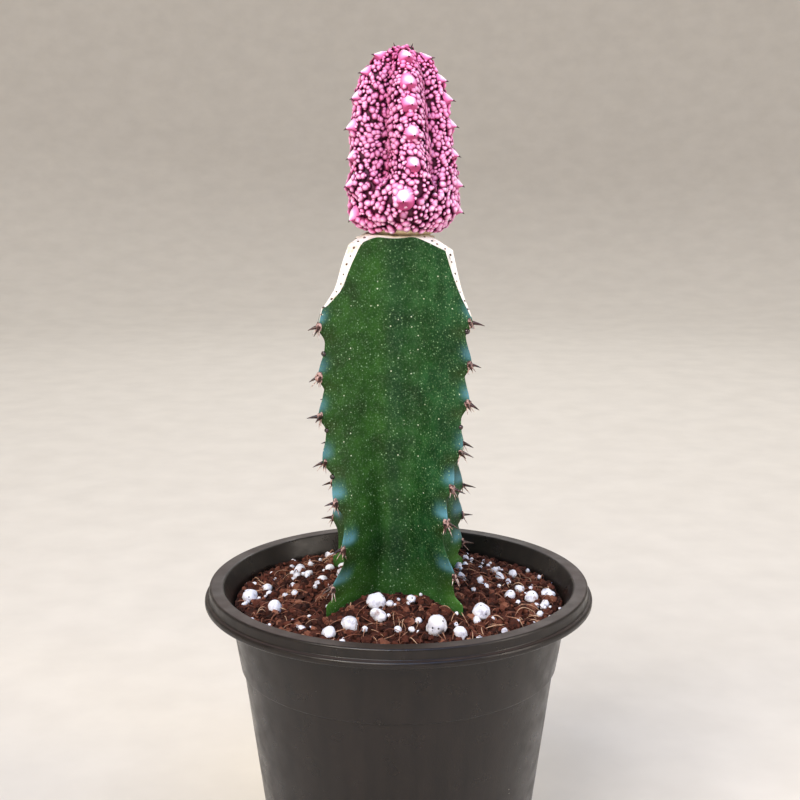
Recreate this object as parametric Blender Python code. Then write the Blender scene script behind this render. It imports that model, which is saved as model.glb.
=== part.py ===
"""A grafted euphorbia in a round nursery pot.

The pot's axis is Z and its foot stands on Z = 0. The front, the side with the broad green face, is -Y.
A pink warty scion with five ribs sits on a dark green stock with four wings, and the stock's foot stands
in a hole in the soil. Sizes are in metres.
"""

import bmesh
import bpy
import numpy as np
from math import cos, exp, pi, radians, sin
from mathutils import Matrix, Vector

# The whole object
GAP = 0.0003                # between pieces that touch
SEGMENTS = 48               # steps round the soil and the stock
POT_SEGMENTS = 40

# Colours, linear red, green and blue
POT_COLOUR = (0.022, 0.018, 0.016)
SOIL_COLOUR = (0.090, 0.035, 0.018)
STOCK_COLOUR = (0.018, 0.075, 0.022)
SCION_COLOUR = (0.620, 0.150, 0.330)

# Pot: 11 cm across the rim
POT_HEIGHT = 0.0987
POT_WALL = 0.0009
RIM_BEAD_RADIUS = 0.0546
RIM_TOP_RADIUS = 0.0533
RIM_INNER_RADIUS = 0.0493
RIM_DEPTH = 0.0052
COLLAR_TOP_RADIUS = 0.0479
COLLAR_FOOT_RADIUS = 0.0448
COLLAR_FOOT_Z = 0.0748
BODY_TOP_RADIUS = 0.0441
FOOT_RADIUS = 0.0345
FOOT_RING_WIDTH = 0.0057
FLOOR_RECESS = 0.003
FLOOR_THICKNESS = 0.0015
FLOOR_FAN_RADIUS = 0.007    # the fan of faces in the middle of the floor
DRAIN_HOLES = 6
DRAIN_HOLE_RADIUS = 0.0035
DRAIN_HOLE_CIRCLE = 0.0215

# Soil: a low mound round the stem
SOIL_WALL_Z = 0.0930
SOIL_STEM_Z = 0.0982
MOUND_FLAT_RADIUS = 0.014
MOUND_WIDTH = 0.032
HOLE_DEPTH = 0.0125
SOIL_RING_SHARES = (0.97, 0.90, 0.80, 0.69, 0.58, 0.46, 0.34, 0.22, 0.10, 0.0)    # wall to stem
SOIL_GAP = 0.0006           # to the pot's wall, whose flat facets come nearer than its corners
CRUMB_HEIGHT = 0.0007
GRAIN_COUNT = 34            # small perlite grains, besides the large ones below
GRAIN_RADIUS = (0.0011, 0.0018)
GRAIN_REACH = (0.017, 0.0435)
LARGE_GRAINS = (            # x, y and radius of the large perlite grains that lie in plain sight
    (0.0101, -0.0310, 0.0031), (0.0225, -0.0210, 0.0027), (-0.0129, -0.0290, 0.0024),
    (-0.0062, -0.0190, 0.0029), (-0.0055, -0.0255, 0.0023), (0.0375, -0.0040, 0.0021),
    (0.0312, -0.0060, 0.0018), (-0.0422, -0.0015, 0.0023), (-0.0341, -0.0127, 0.0020),
    (-0.0183, -0.0323, 0.0021), (0.0163, -0.0325, 0.0020), (-0.0293, 0.0185, 0.0019),
)

# Stock: four wings
STOCK_AXIS_X = -0.0010
STOCK_TOP_Z = 0.1960
STOCK_ROWS = 39
WING_RADIUS = 0.0282
GROOVE_RADIUS = 0.0107
WING_SHARPNESS = 7.0        # a higher power gives thinner wings
FOOT_SHARPNESS = 3.6        # the buried foot's wings are thicker
CREST_SHARPNESS = 12.0      # keeps the teeth near the crest
WING_ANGLES = (-135.5, -44.5, 45.0, 131.0)      # front left, front right, back right, back left
WAIST_TURNS = (16.0, -16.0, 0.0, 0.0)           # degrees that each wing turns at its waist
WAIST_HEIGHTS = (0.117, 0.121, 0.117, 0.117)
WAIST_SPANS = (0.017, 0.021, 0.017, 0.017)
WING_POINTS = (0.0, 2.6, 6.0, 11.0, 18.0, 28.0) # degrees from the crest to the points of the section
FACE_ANGLE = 45.0           # degrees from a crest to the middle of the face beside it
TOOTH_RISE = 0.0027
TOOTH_SLOPE_ABOVE = 0.0052
TOOTH_SLOPE_BELOW = 0.0026
WING_TEETH = (              # heights of the teeth on each wing
    (0.1035, 0.1150, 0.1275, 0.1380, 0.1502, 0.1607, 0.1740),
    (0.1073, 0.1224, 0.1315, 0.1410, 0.1537, 0.1641, 0.1752),
    (0.1035, 0.1120, 0.1211, 0.1337, 0.1450, 0.1565, 0.1680),
    (0.1108, 0.1215, 0.1340, 0.1465, 0.1580, 0.1690),
)
THORN_LENGTH = 0.0036
THORN_RADIUS = 0.00055
THORN_SINK = 0.0016
THORN_SPREAD = 24.0         # degrees that each thorn of a pair leans aside
THORN_DROOP = 0.18
BLUNTNESS = 0.12            # a thorn's end as a share of its foot
# Knife cuts that free the top of each wing: wing, distance from the axis at the top, slope in degrees
KNIFE_CUTS = ((0, 0.0142, 60), (1, 0.0188, 66), (2, 0.0140, 62), (3, 0.0140, 62))
SHOULDER_CUTS = ((0, 0.0095, 12), (1, 0.0120, 14), (2, 0.0070, 36), (3, 0.0070, 36))
# Shallow cuts over the faces between the wings: direction in degrees, distance and slope
FACE_CUTS = ((-90, 0.0070, 19), (0, 0.0078, 17), (90, 0.0070, 16), (180, 0.0070, 18))

# Scion: five ribs
SCION_AXIS_X = 0.0012
SCION_HEIGHT = 0.0488
SCION_RADIUS = 0.0135
SCION_BLUNTNESS = 4.1       # a higher power gives a blunter tip
SCION_SLANT = 1.1           # how much blunter its left side is, and its right side less
SCION_SLANT_ANGLE = -10.0   # direction of the less blunt side
SCION_COLUMNS = 80
SCION_ROWS = 40
SCION_WAIST_Z = 0.008       # height where it starts to narrow to its foot
SCION_FOOT_SHARE = 1.2      # depth below the waist where that narrowing would close, over the waist height
SCION_FOOT_POWER = 1.8      # a higher power keeps it wide for longer
RIB_COUNT = 5
FRONT_RIB_ANGLE = -82.0
FRONT_RIB_LEANS = ((0.021, 0.007, 4.0), (0.009, 0.005, -8.0))       # height, width, degrees
RIB_TEETH = (               # heights of the teeth above the scion's foot, counter-clockwise from the front
    (0.0097, 0.0187, 0.0265, 0.0340, 0.0392, 0.0457),
    (0.0062, 0.0130, 0.0209, 0.0285, 0.0352, 0.0402, 0.0460),
    (0.0080, 0.0155, 0.0235, 0.0310, 0.0378, 0.0440),
    (0.0055, 0.0140, 0.0218, 0.0295, 0.0365, 0.0430),
    (0.0047, 0.0132, 0.0204, 0.0280, 0.0358, 0.0422, 0.0464),
)
RIB_TOOTH_REACH = 0.0025
TOOTH_HALF_WIDTH = 0.0019
RIB_TOOTH_ABOVE = 0.0024
RIB_TOOTH_BELOW = 0.0013
TOOTH_DROP = 0.0006         # how far a tooth's point hangs below its middle
GRANULE_RISE = 0.0008
BULGE_RISE = 0.0009
FURROW_DEEP = 0.62          # radius in the furrows as a share of the radius on the ribs
FURROW_SHALLOW = 0.90
TIP_LENGTH = 0.0009
TIP_RADIUS = 0.00045
TIP_SINK = 0.0016
TIP_DROOP = 0.45


def clear_scene():
    for item in list(bpy.data.objects):
        bpy.data.objects.remove(item, do_unlink=True)


def surface(name, colour, roughness):
    material = bpy.data.materials.new(name)
    material.use_nodes = True
    shader = material.node_tree.nodes["Principled BSDF"]
    shader.inputs["Base Color"].default_value = (*colour, 1.0)
    shader.inputs["Roughness"].default_value = roughness
    shader.inputs["Metallic"].default_value = 0.0
    material.diffuse_color = (*colour, 1.0)
    return material


def add_object(name, bm, material=None, smooth_angle=None):
    """Turn a bmesh into a named object."""
    mesh = bpy.data.meshes.new(name)
    bm.to_mesh(mesh)
    bm.free()
    item = bpy.data.objects.new(name, mesh)
    bpy.context.scene.collection.objects.link(item)
    if material is not None:
        mesh.materials.append(material)
    if smooth_angle is not None:
        mesh.shade_smooth()
        mesh.set_sharp_from_angle(angle=radians(smooth_angle))
    return item


def skin_rings(rings, peaks=None):
    """Join rings of equal length into one closed skin, with a fan at each end.

    Each ring runs counter-clockwise seen from above, and the rings run from the bottom pole to the top.
    Where peaks are marked, each four-sided face is split between its valleys, so that peaks are pyramids.
    """
    bm = bmesh.new()
    loops = [[bm.verts.new(point) for point in ring] for ring in rings]
    count = len(loops[0])
    for row, (low, high) in enumerate(zip(loops, loops[1:])):
        for i in range(count):
            j = (i + 1) % count
            corners = (low[i], low[j], high[j], high[i])
            if peaks is None:
                bm.faces.new(corners)
            elif not peaks[row][i]:
                bm.faces.new((corners[0], corners[1], corners[2]))
                bm.faces.new((corners[0], corners[2], corners[3]))
            else:
                bm.faces.new((corners[0], corners[1], corners[3]))
                bm.faces.new((corners[1], corners[2], corners[3]))
    for loop, flip in ((loops[0], True), (loops[-1], False)):
        middle = sum((vert.co for vert in loop), Vector()) / count
        pole = bm.verts.new(middle)
        for i in range(count):
            j = (i + 1) % count
            bm.faces.new((loop[j], loop[i], pole) if flip else (loop[i], loop[j], pole))
    return bm


def circle(radius, height, count=SEGMENTS):
    angles = np.arange(count) * 2 * pi / count
    return np.column_stack((radius * np.cos(angles), radius * np.sin(angles), np.full(count, height)))


def smooth_step(value):
    value = np.clip(value, 0.0, 1.0)
    return value * value * (3 - 2 * value)


def bell(value, middle, width):
    return exp(-(((value - middle) / width) ** 2))


def apply_boolean(target, tools, operation):
    """Cut or join all the tools at once, then remove them."""
    group = bpy.data.collections.new("tools")
    bpy.context.scene.collection.children.link(group)
    for tool in tools:
        group.objects.link(tool)
    modifier = target.modifiers.new("boolean", "BOOLEAN")
    modifier.operation = operation
    modifier.operand_type = "COLLECTION"
    modifier.collection = group
    modifier.solver = "EXACT"
    bpy.context.view_layer.objects.active = target
    bpy.ops.object.modifier_apply(modifier=modifier.name)
    for tool in tools:
        bpy.data.objects.remove(tool, do_unlink=True)
    bpy.data.collections.remove(group)


def body_radius(z):
    """Outer radius of the pot's tapered body."""
    return FOOT_RADIUS + (BODY_TOP_RADIUS - FOOT_RADIUS) * z / COLLAR_FOOT_Z


def inner_radius(z):
    """Inner radius of the pot's wall, up to the collar's top."""
    if z <= COLLAR_FOOT_Z:
        return body_radius(z) - POT_WALL
    foot = COLLAR_FOOT_RADIUS - POT_WALL
    top = COLLAR_TOP_RADIUS - POT_WALL
    rise = (z - COLLAR_FOOT_Z) / (POT_HEIGHT - RIM_DEPTH - COLLAR_FOOT_Z)
    return foot + (top - foot) * rise


def pot_profile():
    """Radius and height of the pot's section, from the underside's middle out, up and back inside."""
    rim_foot = POT_HEIGHT - RIM_DEPTH
    inner_floor = FLOOR_RECESS + FLOOR_THICKNESS
    return (
        (FLOOR_FAN_RADIUS, FLOOR_RECESS),
        (FOOT_RADIUS - FOOT_RING_WIDTH - 0.0004, FLOOR_RECESS),
        (FOOT_RADIUS - FOOT_RING_WIDTH, 0.0),
        (FOOT_RADIUS - 0.0006, 0.0),
        (FOOT_RADIUS, 0.0007),
        (BODY_TOP_RADIUS, COLLAR_FOOT_Z - 0.0003),
        (COLLAR_FOOT_RADIUS, COLLAR_FOOT_Z),
        (COLLAR_TOP_RADIUS, rim_foot),
        (RIM_INNER_RADIUS - 0.0002, POT_HEIGHT - 0.0012),
        (RIM_TOP_RADIUS - 0.0011, POT_HEIGHT - 0.0013),
        (RIM_BEAD_RADIUS - 0.0019, rim_foot + 0.0002),
        (RIM_BEAD_RADIUS - 0.0002, rim_foot + 0.0004),
        (RIM_BEAD_RADIUS, rim_foot + 0.0010),
        (RIM_BEAD_RADIUS - 0.0004, rim_foot + 0.0017),
        (RIM_TOP_RADIUS + 0.0002, rim_foot + 0.0022),
        (RIM_TOP_RADIUS, POT_HEIGHT - 0.0005),
        (RIM_TOP_RADIUS - 0.0005, POT_HEIGHT),
        (RIM_INNER_RADIUS + 0.0004, POT_HEIGHT),
        (RIM_INNER_RADIUS - 0.0003, POT_HEIGHT - 0.0004),
        (COLLAR_TOP_RADIUS - POT_WALL, rim_foot),
        (COLLAR_FOOT_RADIUS - POT_WALL, COLLAR_FOOT_Z + 0.0012),
        (BODY_TOP_RADIUS - POT_WALL, COLLAR_FOOT_Z),
        (body_radius(inner_floor) - POT_WALL, inner_floor),
        (FLOOR_FAN_RADIUS, inner_floor),
    )


def make_pot():
    pot = add_object(
        "pot",
        skin_rings([circle(radius, z, POT_SEGMENTS) for radius, z in pot_profile()]),
        surface("matte_black_plastic", POT_COLOUR, 0.5),
        smooth_angle=32,
    )
    cutters = []
    for i in range(DRAIN_HOLES):
        angle = (i + 0.5) * 2 * pi / DRAIN_HOLES
        bm = bmesh.new()
        bmesh.ops.create_cone(
            bm, cap_ends=True, segments=10, depth=4 * FLOOR_THICKNESS,
            radius1=DRAIN_HOLE_RADIUS, radius2=DRAIN_HOLE_RADIUS,
        )
        middle = Vector((DRAIN_HOLE_CIRCLE * cos(angle), DRAIN_HOLE_CIRCLE * sin(angle), FLOOR_RECESS))
        bmesh.ops.translate(bm, vec=middle, verts=bm.verts)
        cutters.append(add_object(f"drain_cutter_{i}", bm))
    apply_boolean(pot, cutters, "DIFFERENCE")
    return pot


def wing_angles(z):
    """Angle of each wing at a height: the two front wings turn inwards at the waist."""
    away = (z - np.array(WAIST_HEIGHTS)) / np.array(WAIST_SPANS)
    return np.radians(np.array(WING_ANGLES) + np.array(WAIST_TURNS) * np.exp(-away ** 2))


def tooth_height(z, teeth):
    """How far a wing's crest stands out at a height: a long slope above each tooth, a short one below."""
    rise = 0.0
    for tooth in teeth:
        slope = TOOTH_SLOPE_ABOVE if z > tooth else TOOTH_SLOPE_BELOW
        rise = max(rise, bell(z, tooth, slope))
    return rise


def stock_outline(z, is_foot=False):
    """The stock's section, wing by wing, with its points closer together towards each crest."""
    sharpness = FOOT_SHARPNESS if is_foot else WING_SHARPNESS
    angles = wing_angles(z)
    after = np.append(angles[1:], angles[0] + 2 * pi)
    before = np.insert(angles[:-1], 0, angles[-1] - 2 * pi)
    shares = np.array(WING_POINTS) / FACE_ANGLE
    shares = np.concatenate((-shares[:0:-1], shares, [1.0]))
    points = []
    for wing in range(len(angles)):
        dip = 0.0 if is_foot else TOOTH_RISE * (1 - tooth_height(z, WING_TEETH[wing]))
        half_gap = np.where(shares > 0, after[wing] - angles[wing], angles[wing] - before[wing]) / 2
        turn = angles[wing] + shares * half_gap
        near = 1 - np.abs(shares)
        reach = GROOVE_RADIUS + (WING_RADIUS - GROOVE_RADIUS) * near ** sharpness
        reach = reach - dip * near ** CREST_SHARPNESS
        points += list(zip(STOCK_AXIS_X + reach * np.cos(turn), reach * np.sin(turn)))
    return np.column_stack((points, np.full(len(points), z)))


def cut_with_plane(bm, point, normal):
    """Slice off what lies past a plane and close the cut with a flat face."""
    geometry = bm.verts[:] + bm.edges[:] + bm.faces[:]
    result = bmesh.ops.bisect_plane(
        bm, geom=geometry, plane_co=point, plane_no=normal, dist=1e-7, clear_outer=True,
    )
    edges = [item for item in result["geom_cut"] if isinstance(item, bmesh.types.BMEdge)]
    bmesh.ops.contextual_create(bm, geom=edges)
    bmesh.ops.triangulate(bm, faces=[face for face in bm.faces if len(face.verts) > 4])


def make_cone(name, foot, direction, length, radius, sides=3):
    """A thorn: a slim cone whose foot is sunk in what it grows from."""
    bm = bmesh.new()
    bmesh.ops.create_cone(
        bm, cap_ends=True, segments=sides, depth=length, radius1=radius, radius2=radius * BLUNTNESS,
    )
    turn = Vector((0, 0, 1)).rotation_difference(Vector(direction).normalized()).to_matrix().to_4x4()
    middle = Vector(foot) + Vector(direction).normalized() * (length / 2)
    bmesh.ops.transform(bm, matrix=Matrix.Translation(middle) @ turn, verts=bm.verts)
    return add_object(name, bm)


def stock_thorns():
    """A pair of spreading thorns on each tooth."""
    thorns = []
    for wing, teeth in enumerate(WING_TEETH):
        for i, z in enumerate(teeth):
            angle = wing_angles(z)[wing]
            reach = WING_RADIUS - THORN_SINK
            foot = (STOCK_AXIS_X + reach * cos(angle), reach * sin(angle), z)
            for side in (-1, 1):
                out = angle + side * radians(THORN_SPREAD)
                direction = Vector((cos(out), sin(out), -THORN_DROOP))
                name = f"thorn_{wing}_{i}_{side}"
                thorns.append(make_cone(name, foot, direction, THORN_LENGTH + THORN_SINK, THORN_RADIUS))
    return thorns


def make_stock():
    foot_z = SOIL_STEM_Z - HOLE_DEPTH + GAP
    heights = np.linspace(SOIL_STEM_Z, STOCK_TOP_Z + 0.002, STOCK_ROWS)
    foot = stock_outline(SOIL_STEM_Z, is_foot=True)
    rings = [foot * (1, 1, 0) + (0, 0, foot_z), foot]
    rings += [stock_outline(z) for z in heights[1:]]
    bm = skin_rings(rings)
    top = Vector((STOCK_AXIS_X, 0.0, STOCK_TOP_Z))
    cut_with_plane(bm, top, Vector((0, 0, 1)))
    angles = wing_angles(STOCK_TOP_Z)
    cuts = [(radians(direction), distance, slope) for direction, distance, slope in FACE_CUTS]
    cuts += [(angles[wing], distance, slope) for wing, distance, slope in (*SHOULDER_CUTS, *KNIFE_CUTS)]
    for angle, distance, slope in cuts:
        out = Vector((cos(angle), sin(angle), 0.0))
        normal = out * sin(radians(slope)) + Vector((0, 0, cos(radians(slope))))
        cut_with_plane(bm, top + out * distance, normal)
    stock = add_object("stock", bm, surface("green_stem_skin", STOCK_COLOUR, 0.45))
    apply_boolean(stock, stock_thorns(), "UNION")
    return stock


def soil_height(x, y):
    """Height of the soil's mound."""
    reach = (np.hypot(x, y) - MOUND_FLAT_RADIUS) / MOUND_WIDTH
    return SOIL_STEM_Z - (SOIL_STEM_Z - SOIL_WALL_Z) * smooth_step(reach)


def offset_outline(outline, gap):
    """Move a closed outline outwards by a gap, along its own normals."""
    along = np.roll(outline, -1, axis=0) - np.roll(outline, 1, axis=0)
    outwards = np.column_stack((along[:, 1], -along[:, 0]))
    outwards /= np.linalg.norm(outwards, axis=1)[:, None]
    moved = outline.copy()
    moved[:, :2] += gap * outwards
    return moved


def make_soil():
    rng = np.random.default_rng(7)
    hole = offset_outline(stock_outline(SOIL_STEM_Z, is_foot=True), GAP * 1.3)
    order = np.argsort(np.arctan2(hole[:, 1], hole[:, 0]) % (2 * pi))
    hole = hole[order]
    floor_z = FLOOR_RECESS + FLOOR_THICKNESS + GAP
    step_z = COLLAR_FOOT_Z + 0.0014
    rings = [
        circle(inner_radius(floor_z) - SOIL_GAP, floor_z),
        circle(inner_radius(COLLAR_FOOT_Z) - SOIL_GAP, COLLAR_FOOT_Z - 0.0004),
        circle(inner_radius(step_z) - SOIL_GAP, step_z),
    ]
    edge = circle(inner_radius(SOIL_WALL_Z) - SOIL_GAP, SOIL_WALL_Z - 0.0006)
    rings.append(edge)
    for share in SOIL_RING_SHARES:
        ring = hole + (edge - hole) * share
        ring[:, 2] = soil_height(ring[:, 0], ring[:, 1])
        if share > 0.0:
            ring[:, 2] += CRUMB_HEIGHT * rng.uniform(-1, 1, len(ring))
        rings.append(ring)
    bottom = hole * (1, 1, 0) + (0, 0, SOIL_STEM_Z - HOLE_DEPTH)
    rings.append(bottom)
    soil = add_object("soil", skin_rings(rings), surface("brown_soil", SOIL_COLOUR, 0.95))
    apply_boolean(soil, perlite_grains(rng), "UNION")
    return soil


def perlite_grains(rng):
    """Round grains half sunk in the mound: the large ones, then small ones at random, none too close."""
    places = list(LARGE_GRAINS)
    while len(places) < len(LARGE_GRAINS) + GRAIN_COUNT:
        angle = rng.uniform(0, 2 * pi)
        reach = rng.uniform(*GRAIN_REACH)
        radius = rng.uniform(*GRAIN_RADIUS)
        x, y = reach * cos(angle), reach * sin(angle)
        clear = all(np.hypot(x - u, y - v) > radius + r + 0.0006 for u, v, r in places)
        if clear and stem_distance(x, y) > radius + 0.0012:
            places.append((x, y, radius))
    grains = []
    for i, (x, y, radius) in enumerate(places):
        bm = bmesh.new()
        bmesh.ops.create_icosphere(bm, subdivisions=1, radius=radius)
        stretch = Vector((1, rng.uniform(0.85, 1.15), rng.uniform(0.75, 0.9)))
        turn = Matrix.Rotation(rng.uniform(0, 2 * pi), 4, "Z") @ Matrix.Diagonal((*stretch, 1))
        middle = Vector((x, y, float(soil_height(x, y)) + 0.3 * radius - 0.5 * CRUMB_HEIGHT))
        bmesh.ops.transform(bm, matrix=Matrix.Translation(middle) @ turn, verts=bm.verts)
        grains.append(add_object(f"grain_{i}", bm))
    return grains


def stem_distance(x, y):
    """Distance from a place on the soil to the nearest point of the stem's section."""
    outline = stock_outline(SOIL_STEM_Z, is_foot=True)
    finer = np.concatenate([outline + (np.roll(outline, -1, axis=0) - outline) * s for s in (0, 0.33, 0.67)])
    return float(np.min(np.hypot(finer[:, 0] - x, finer[:, 1] - y)))


def scion_reach(z, turn):
    """Radius of the rib crests, without their teeth: a blunt finger that narrows to its foot."""
    above = max(0.0, z - SCION_WAIST_Z) / (SCION_HEIGHT - SCION_WAIST_Z)
    below = max(0.0, SCION_WAIST_Z - z) / (SCION_WAIST_Z * SCION_FOOT_SHARE)
    power = SCION_BLUNTNESS - SCION_SLANT * np.cos(turn - radians(SCION_SLANT_ANGLE))
    return SCION_RADIUS * (1 - above ** power) ** 0.5 * (1 - below ** SCION_FOOT_POWER) ** 0.5


def rib_angles(z):
    """Angles of the ribs. The front one leans to one side in the middle and swings back lower down."""
    angles = [radians(FRONT_RIB_ANGLE + 360 / RIB_COUNT * rib) for rib in range(RIB_COUNT)]
    for height, width, lean in FRONT_RIB_LEANS:
        angles[0] += radians(lean) * bell(z, height, width)
    return angles


def scion_heights():
    """Heights of the rings, a little closer together at the foot and at the tip."""
    turn = np.linspace(0.18 * pi, 0.97 * pi, SCION_ROWS)
    heights = np.cos(turn[0]) - np.cos(turn)
    return heights / heights[-1] * SCION_HEIGHT * 0.995


def ribbed_radius(z, turn):
    """Radius of the ribbed body all the way round: deep furrows above, shallow ones and bulges below."""
    reach = scion_reach(z, turn)
    low = float(smooth_step((0.021 - z) / 0.008))
    furrow = FURROW_DEEP + (FURROW_SHALLOW - FURROW_DEEP) * low
    radius = np.zeros(len(turn))
    for crest in rib_angles(z):
        share = np.clip(angle_between(turn, crest) / radians(180 / RIB_COUNT), 0, 1)
        radius = np.maximum(radius, reach * (furrow + (1 - furrow) * np.cos(share * pi / 2) ** 0.9))
    bulge = np.sin(7 * turn + 2.0) * np.sin(z * 2 * pi / 0.011 + 3 * turn)
    return radius + BULGE_RISE * low * float(smooth_step(z / 0.005)) * bulge


def rib_teeth(z, turn):
    """How strongly each place round the ring belongs to a tooth, from 0 to 1."""
    strength = np.zeros(len(turn))
    for crest, teeth in zip(rib_angles(z), RIB_TEETH):
        side = angle_between(turn, crest) * max(scion_reach(z, crest), 0.006) / TOOTH_HALF_WIDTH
        for tooth in teeth:
            up = (z - tooth) / (RIB_TOOTH_ABOVE if z > tooth else RIB_TOOTH_BELOW)
            strength = np.maximum(strength, np.exp(-(side ** 2) - up ** 2))
    return strength


def angle_between(turn, crest):
    return np.abs((turn - crest + pi) % (2 * pi) - pi)


def make_scion():
    """Ribs, teeth and granules, all raised from the same rings."""
    foot_z = STOCK_TOP_Z + GAP
    rng = np.random.default_rng(11)
    columns = np.arange(SCION_COLUMNS)
    rings = []
    peaks = []
    for row, z in enumerate(scion_heights()):
        raised = (columns + row) % 2 == 0
        sway = 0.15 * rng.uniform(-1, 1, SCION_COLUMNS) + 0.9 * sin(row * 0.5)
        turn = (columns + sway) * 2 * pi / SCION_COLUMNS
        tooth = rib_teeth(z, turn)
        steep = float(smooth_step(z / 0.004)) * float(smooth_step((SCION_HEIGHT - z) / 0.004))
        relief = GRANULE_RISE * np.where(raised, 0.7, -0.5) * rng.uniform(0.6, 1.3, SCION_COLUMNS)
        radius = ribbed_radius(z, turn) + RIB_TOOTH_REACH * tooth + steep * relief * (1 - tooth)
        radius = np.maximum(radius, 0.0006)
        wave = 0.0005 * np.sin(4 * turn + row * 0.9) - TOOTH_DROP * tooth
        height = foot_z + z + wave * steep
        rings.append(np.column_stack((SCION_AXIS_X + radius * np.cos(turn), radius * np.sin(turn), height)))
        peaks.append(raised)
    material = surface("pink_stem_skin", SCION_COLOUR, 0.5)
    scion = add_object("scion", skin_rings(rings, peaks), material)
    apply_boolean(scion, scion_tips(foot_z), "UNION")
    return scion


def scion_tips(foot_z):
    """A short dark tip on each tooth, pointing out and a little down."""
    tips = []
    for rib, teeth in enumerate(RIB_TEETH):
        for i, z in enumerate(teeth):
            angle = rib_angles(z)[rib]
            reach = scion_reach(z, angle) + RIB_TOOTH_REACH - TIP_SINK
            foot = (SCION_AXIS_X + reach * cos(angle), reach * sin(angle), foot_z + z - TOOTH_DROP)
            direction = Vector((cos(angle), sin(angle), -TIP_DROOP))
            tips.append(make_cone(f"tip_{rib}_{i}", foot, direction, TIP_LENGTH + TIP_SINK, TIP_RADIUS))
    return tips


clear_scene()
make_pot()
make_soil()
make_stock()
make_scion()
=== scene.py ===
import bmesh
import bpy
import numpy as np
from math import pi, radians
from mathutils import Matrix, Vector


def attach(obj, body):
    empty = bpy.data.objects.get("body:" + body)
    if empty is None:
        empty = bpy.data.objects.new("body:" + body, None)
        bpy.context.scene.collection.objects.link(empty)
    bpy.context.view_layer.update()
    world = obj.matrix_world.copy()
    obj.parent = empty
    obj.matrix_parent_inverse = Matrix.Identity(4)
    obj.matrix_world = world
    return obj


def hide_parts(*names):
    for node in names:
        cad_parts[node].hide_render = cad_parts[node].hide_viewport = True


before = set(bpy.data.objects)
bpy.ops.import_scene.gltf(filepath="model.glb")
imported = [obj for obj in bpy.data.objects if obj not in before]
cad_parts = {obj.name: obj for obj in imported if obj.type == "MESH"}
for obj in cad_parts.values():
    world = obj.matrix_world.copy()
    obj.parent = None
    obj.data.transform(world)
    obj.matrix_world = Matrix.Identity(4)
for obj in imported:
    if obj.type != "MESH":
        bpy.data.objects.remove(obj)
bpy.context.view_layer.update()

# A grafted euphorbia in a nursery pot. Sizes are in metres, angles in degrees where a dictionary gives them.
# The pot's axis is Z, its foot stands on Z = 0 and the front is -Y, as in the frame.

noiseTable = np.random.default_rng(3).random((32, 32, 32))


# Numbers that every piece uses

def smoothStep(value):
    value = np.clip(value, 0.0, 1.0)
    return value * value * (3 - 2 * value)


def bell(value, middle, width):
    return np.exp(-(((value - middle) / width) ** 2))


def angleBetween(turn, other):
    return np.abs((turn - other + pi) % (2 * pi) - pi)


def softNoise(points, size):
    # random values on a cubic lattice of that size, blended smoothly between its corners, from -1 to 1
    spot = np.asarray(points) / size
    cell = np.floor(spot).astype(int)
    part = smoothStep(spot - cell)
    total = np.zeros(spot.shape[:-1])
    for corner in np.ndindex(2, 2, 2):
        x, y, z = np.moveaxis((cell + corner) % 32, -1, 0)
        total += np.prod(np.where(corner, part, 1 - part), axis=-1) * noiseTable[x, y, z]
    return 2 * total - 1


def unit(vectors):
    return vectors / np.linalg.norm(vectors, axis=-1, keepdims=True)


# Meshes: every piece is a set of ring stacks, each closed by a fan at both ends

def ringSkins(rings, ends=None):
    # rings has the shape (copies, rows, columns, 3); each ring turns counter-clockwise seen from past the last row,
    # each face joins a step of a ring to the same step of the next, and the fans meet at the end rings' middles
    copies, rows, columns = rings.shape[:3]
    if ends is None:
        ends = rings[:, [0, -1]].mean(axis=2)
    points = np.concatenate((rings.reshape(copies, rows * columns, 3), ends), axis=1)
    low = np.arange(rows - 1)[:, None] * columns
    step = np.arange(columns)
    after = (step + 1) % columns
    quads = np.stack((low + step, low + after, low + columns + after, low + columns + step), -1).reshape(-1, 4)
    foot = np.stack((after, step, np.full(columns, rows * columns)), -1)
    top = (rows - 1) * columns
    head = np.stack((top + step, top + after, np.full(columns, rows * columns + 1)), -1)
    offset = np.arange(copies)[:, None, None] * (rows * columns + 2)
    return (
        points.reshape(-1, 3),
        (quads + offset).reshape(-1, 4),
        (np.concatenate((foot, head)) + offset).reshape(-1, 3),
    )


def perPoint(values):
    # one value for each ring point, and the end rings' means for the two middle points
    ends = values[:, [0, -1]].mean(axis=2)
    return np.concatenate((values.reshape(len(values), -1), ends), axis=1).ravel()


def makePiece(name, skins, material, sharpAngle=None, attributes=None):
    # puts the points and faces into a mesh, with its attributes, and shades it smooth
    points, quads, fans = skins
    mesh = bpy.data.meshes.new(name)
    mesh.vertices.add(len(points))
    mesh.vertices.foreach_set("co", points.astype(np.float32).ravel())
    corners = np.concatenate((quads.ravel(), fans.ravel())).astype(np.int32)
    mesh.loops.add(len(corners))
    mesh.loops.foreach_set("vertex_index", corners)
    starts = np.concatenate((np.arange(len(quads)) * 4, quads.size + np.arange(len(fans)) * 3)).astype(np.int32)
    mesh.polygons.add(len(starts))
    mesh.polygons.foreach_set("loop_start", starts)
    mesh.update(calc_edges=True)
    for attribute, values in (attributes or {}).items():
        data = mesh.attributes.new(attribute, "FLOAT", "POINT").data
        data.foreach_set("value", values.astype(np.float32))
    mesh.shade_smooth()
    if sharpAngle is not None:
        mesh.set_sharp_from_angle(angle=radians(sharpAngle))
    mesh.materials.append(material)
    piece = bpy.data.objects.new(name, mesh)
    bpy.context.scene.collection.objects.link(piece)
    return piece


def settle(piece, slot, *nodes):
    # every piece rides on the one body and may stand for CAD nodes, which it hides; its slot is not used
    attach(piece, "root")
    if nodes:
        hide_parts(*nodes)
    return piece


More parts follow.
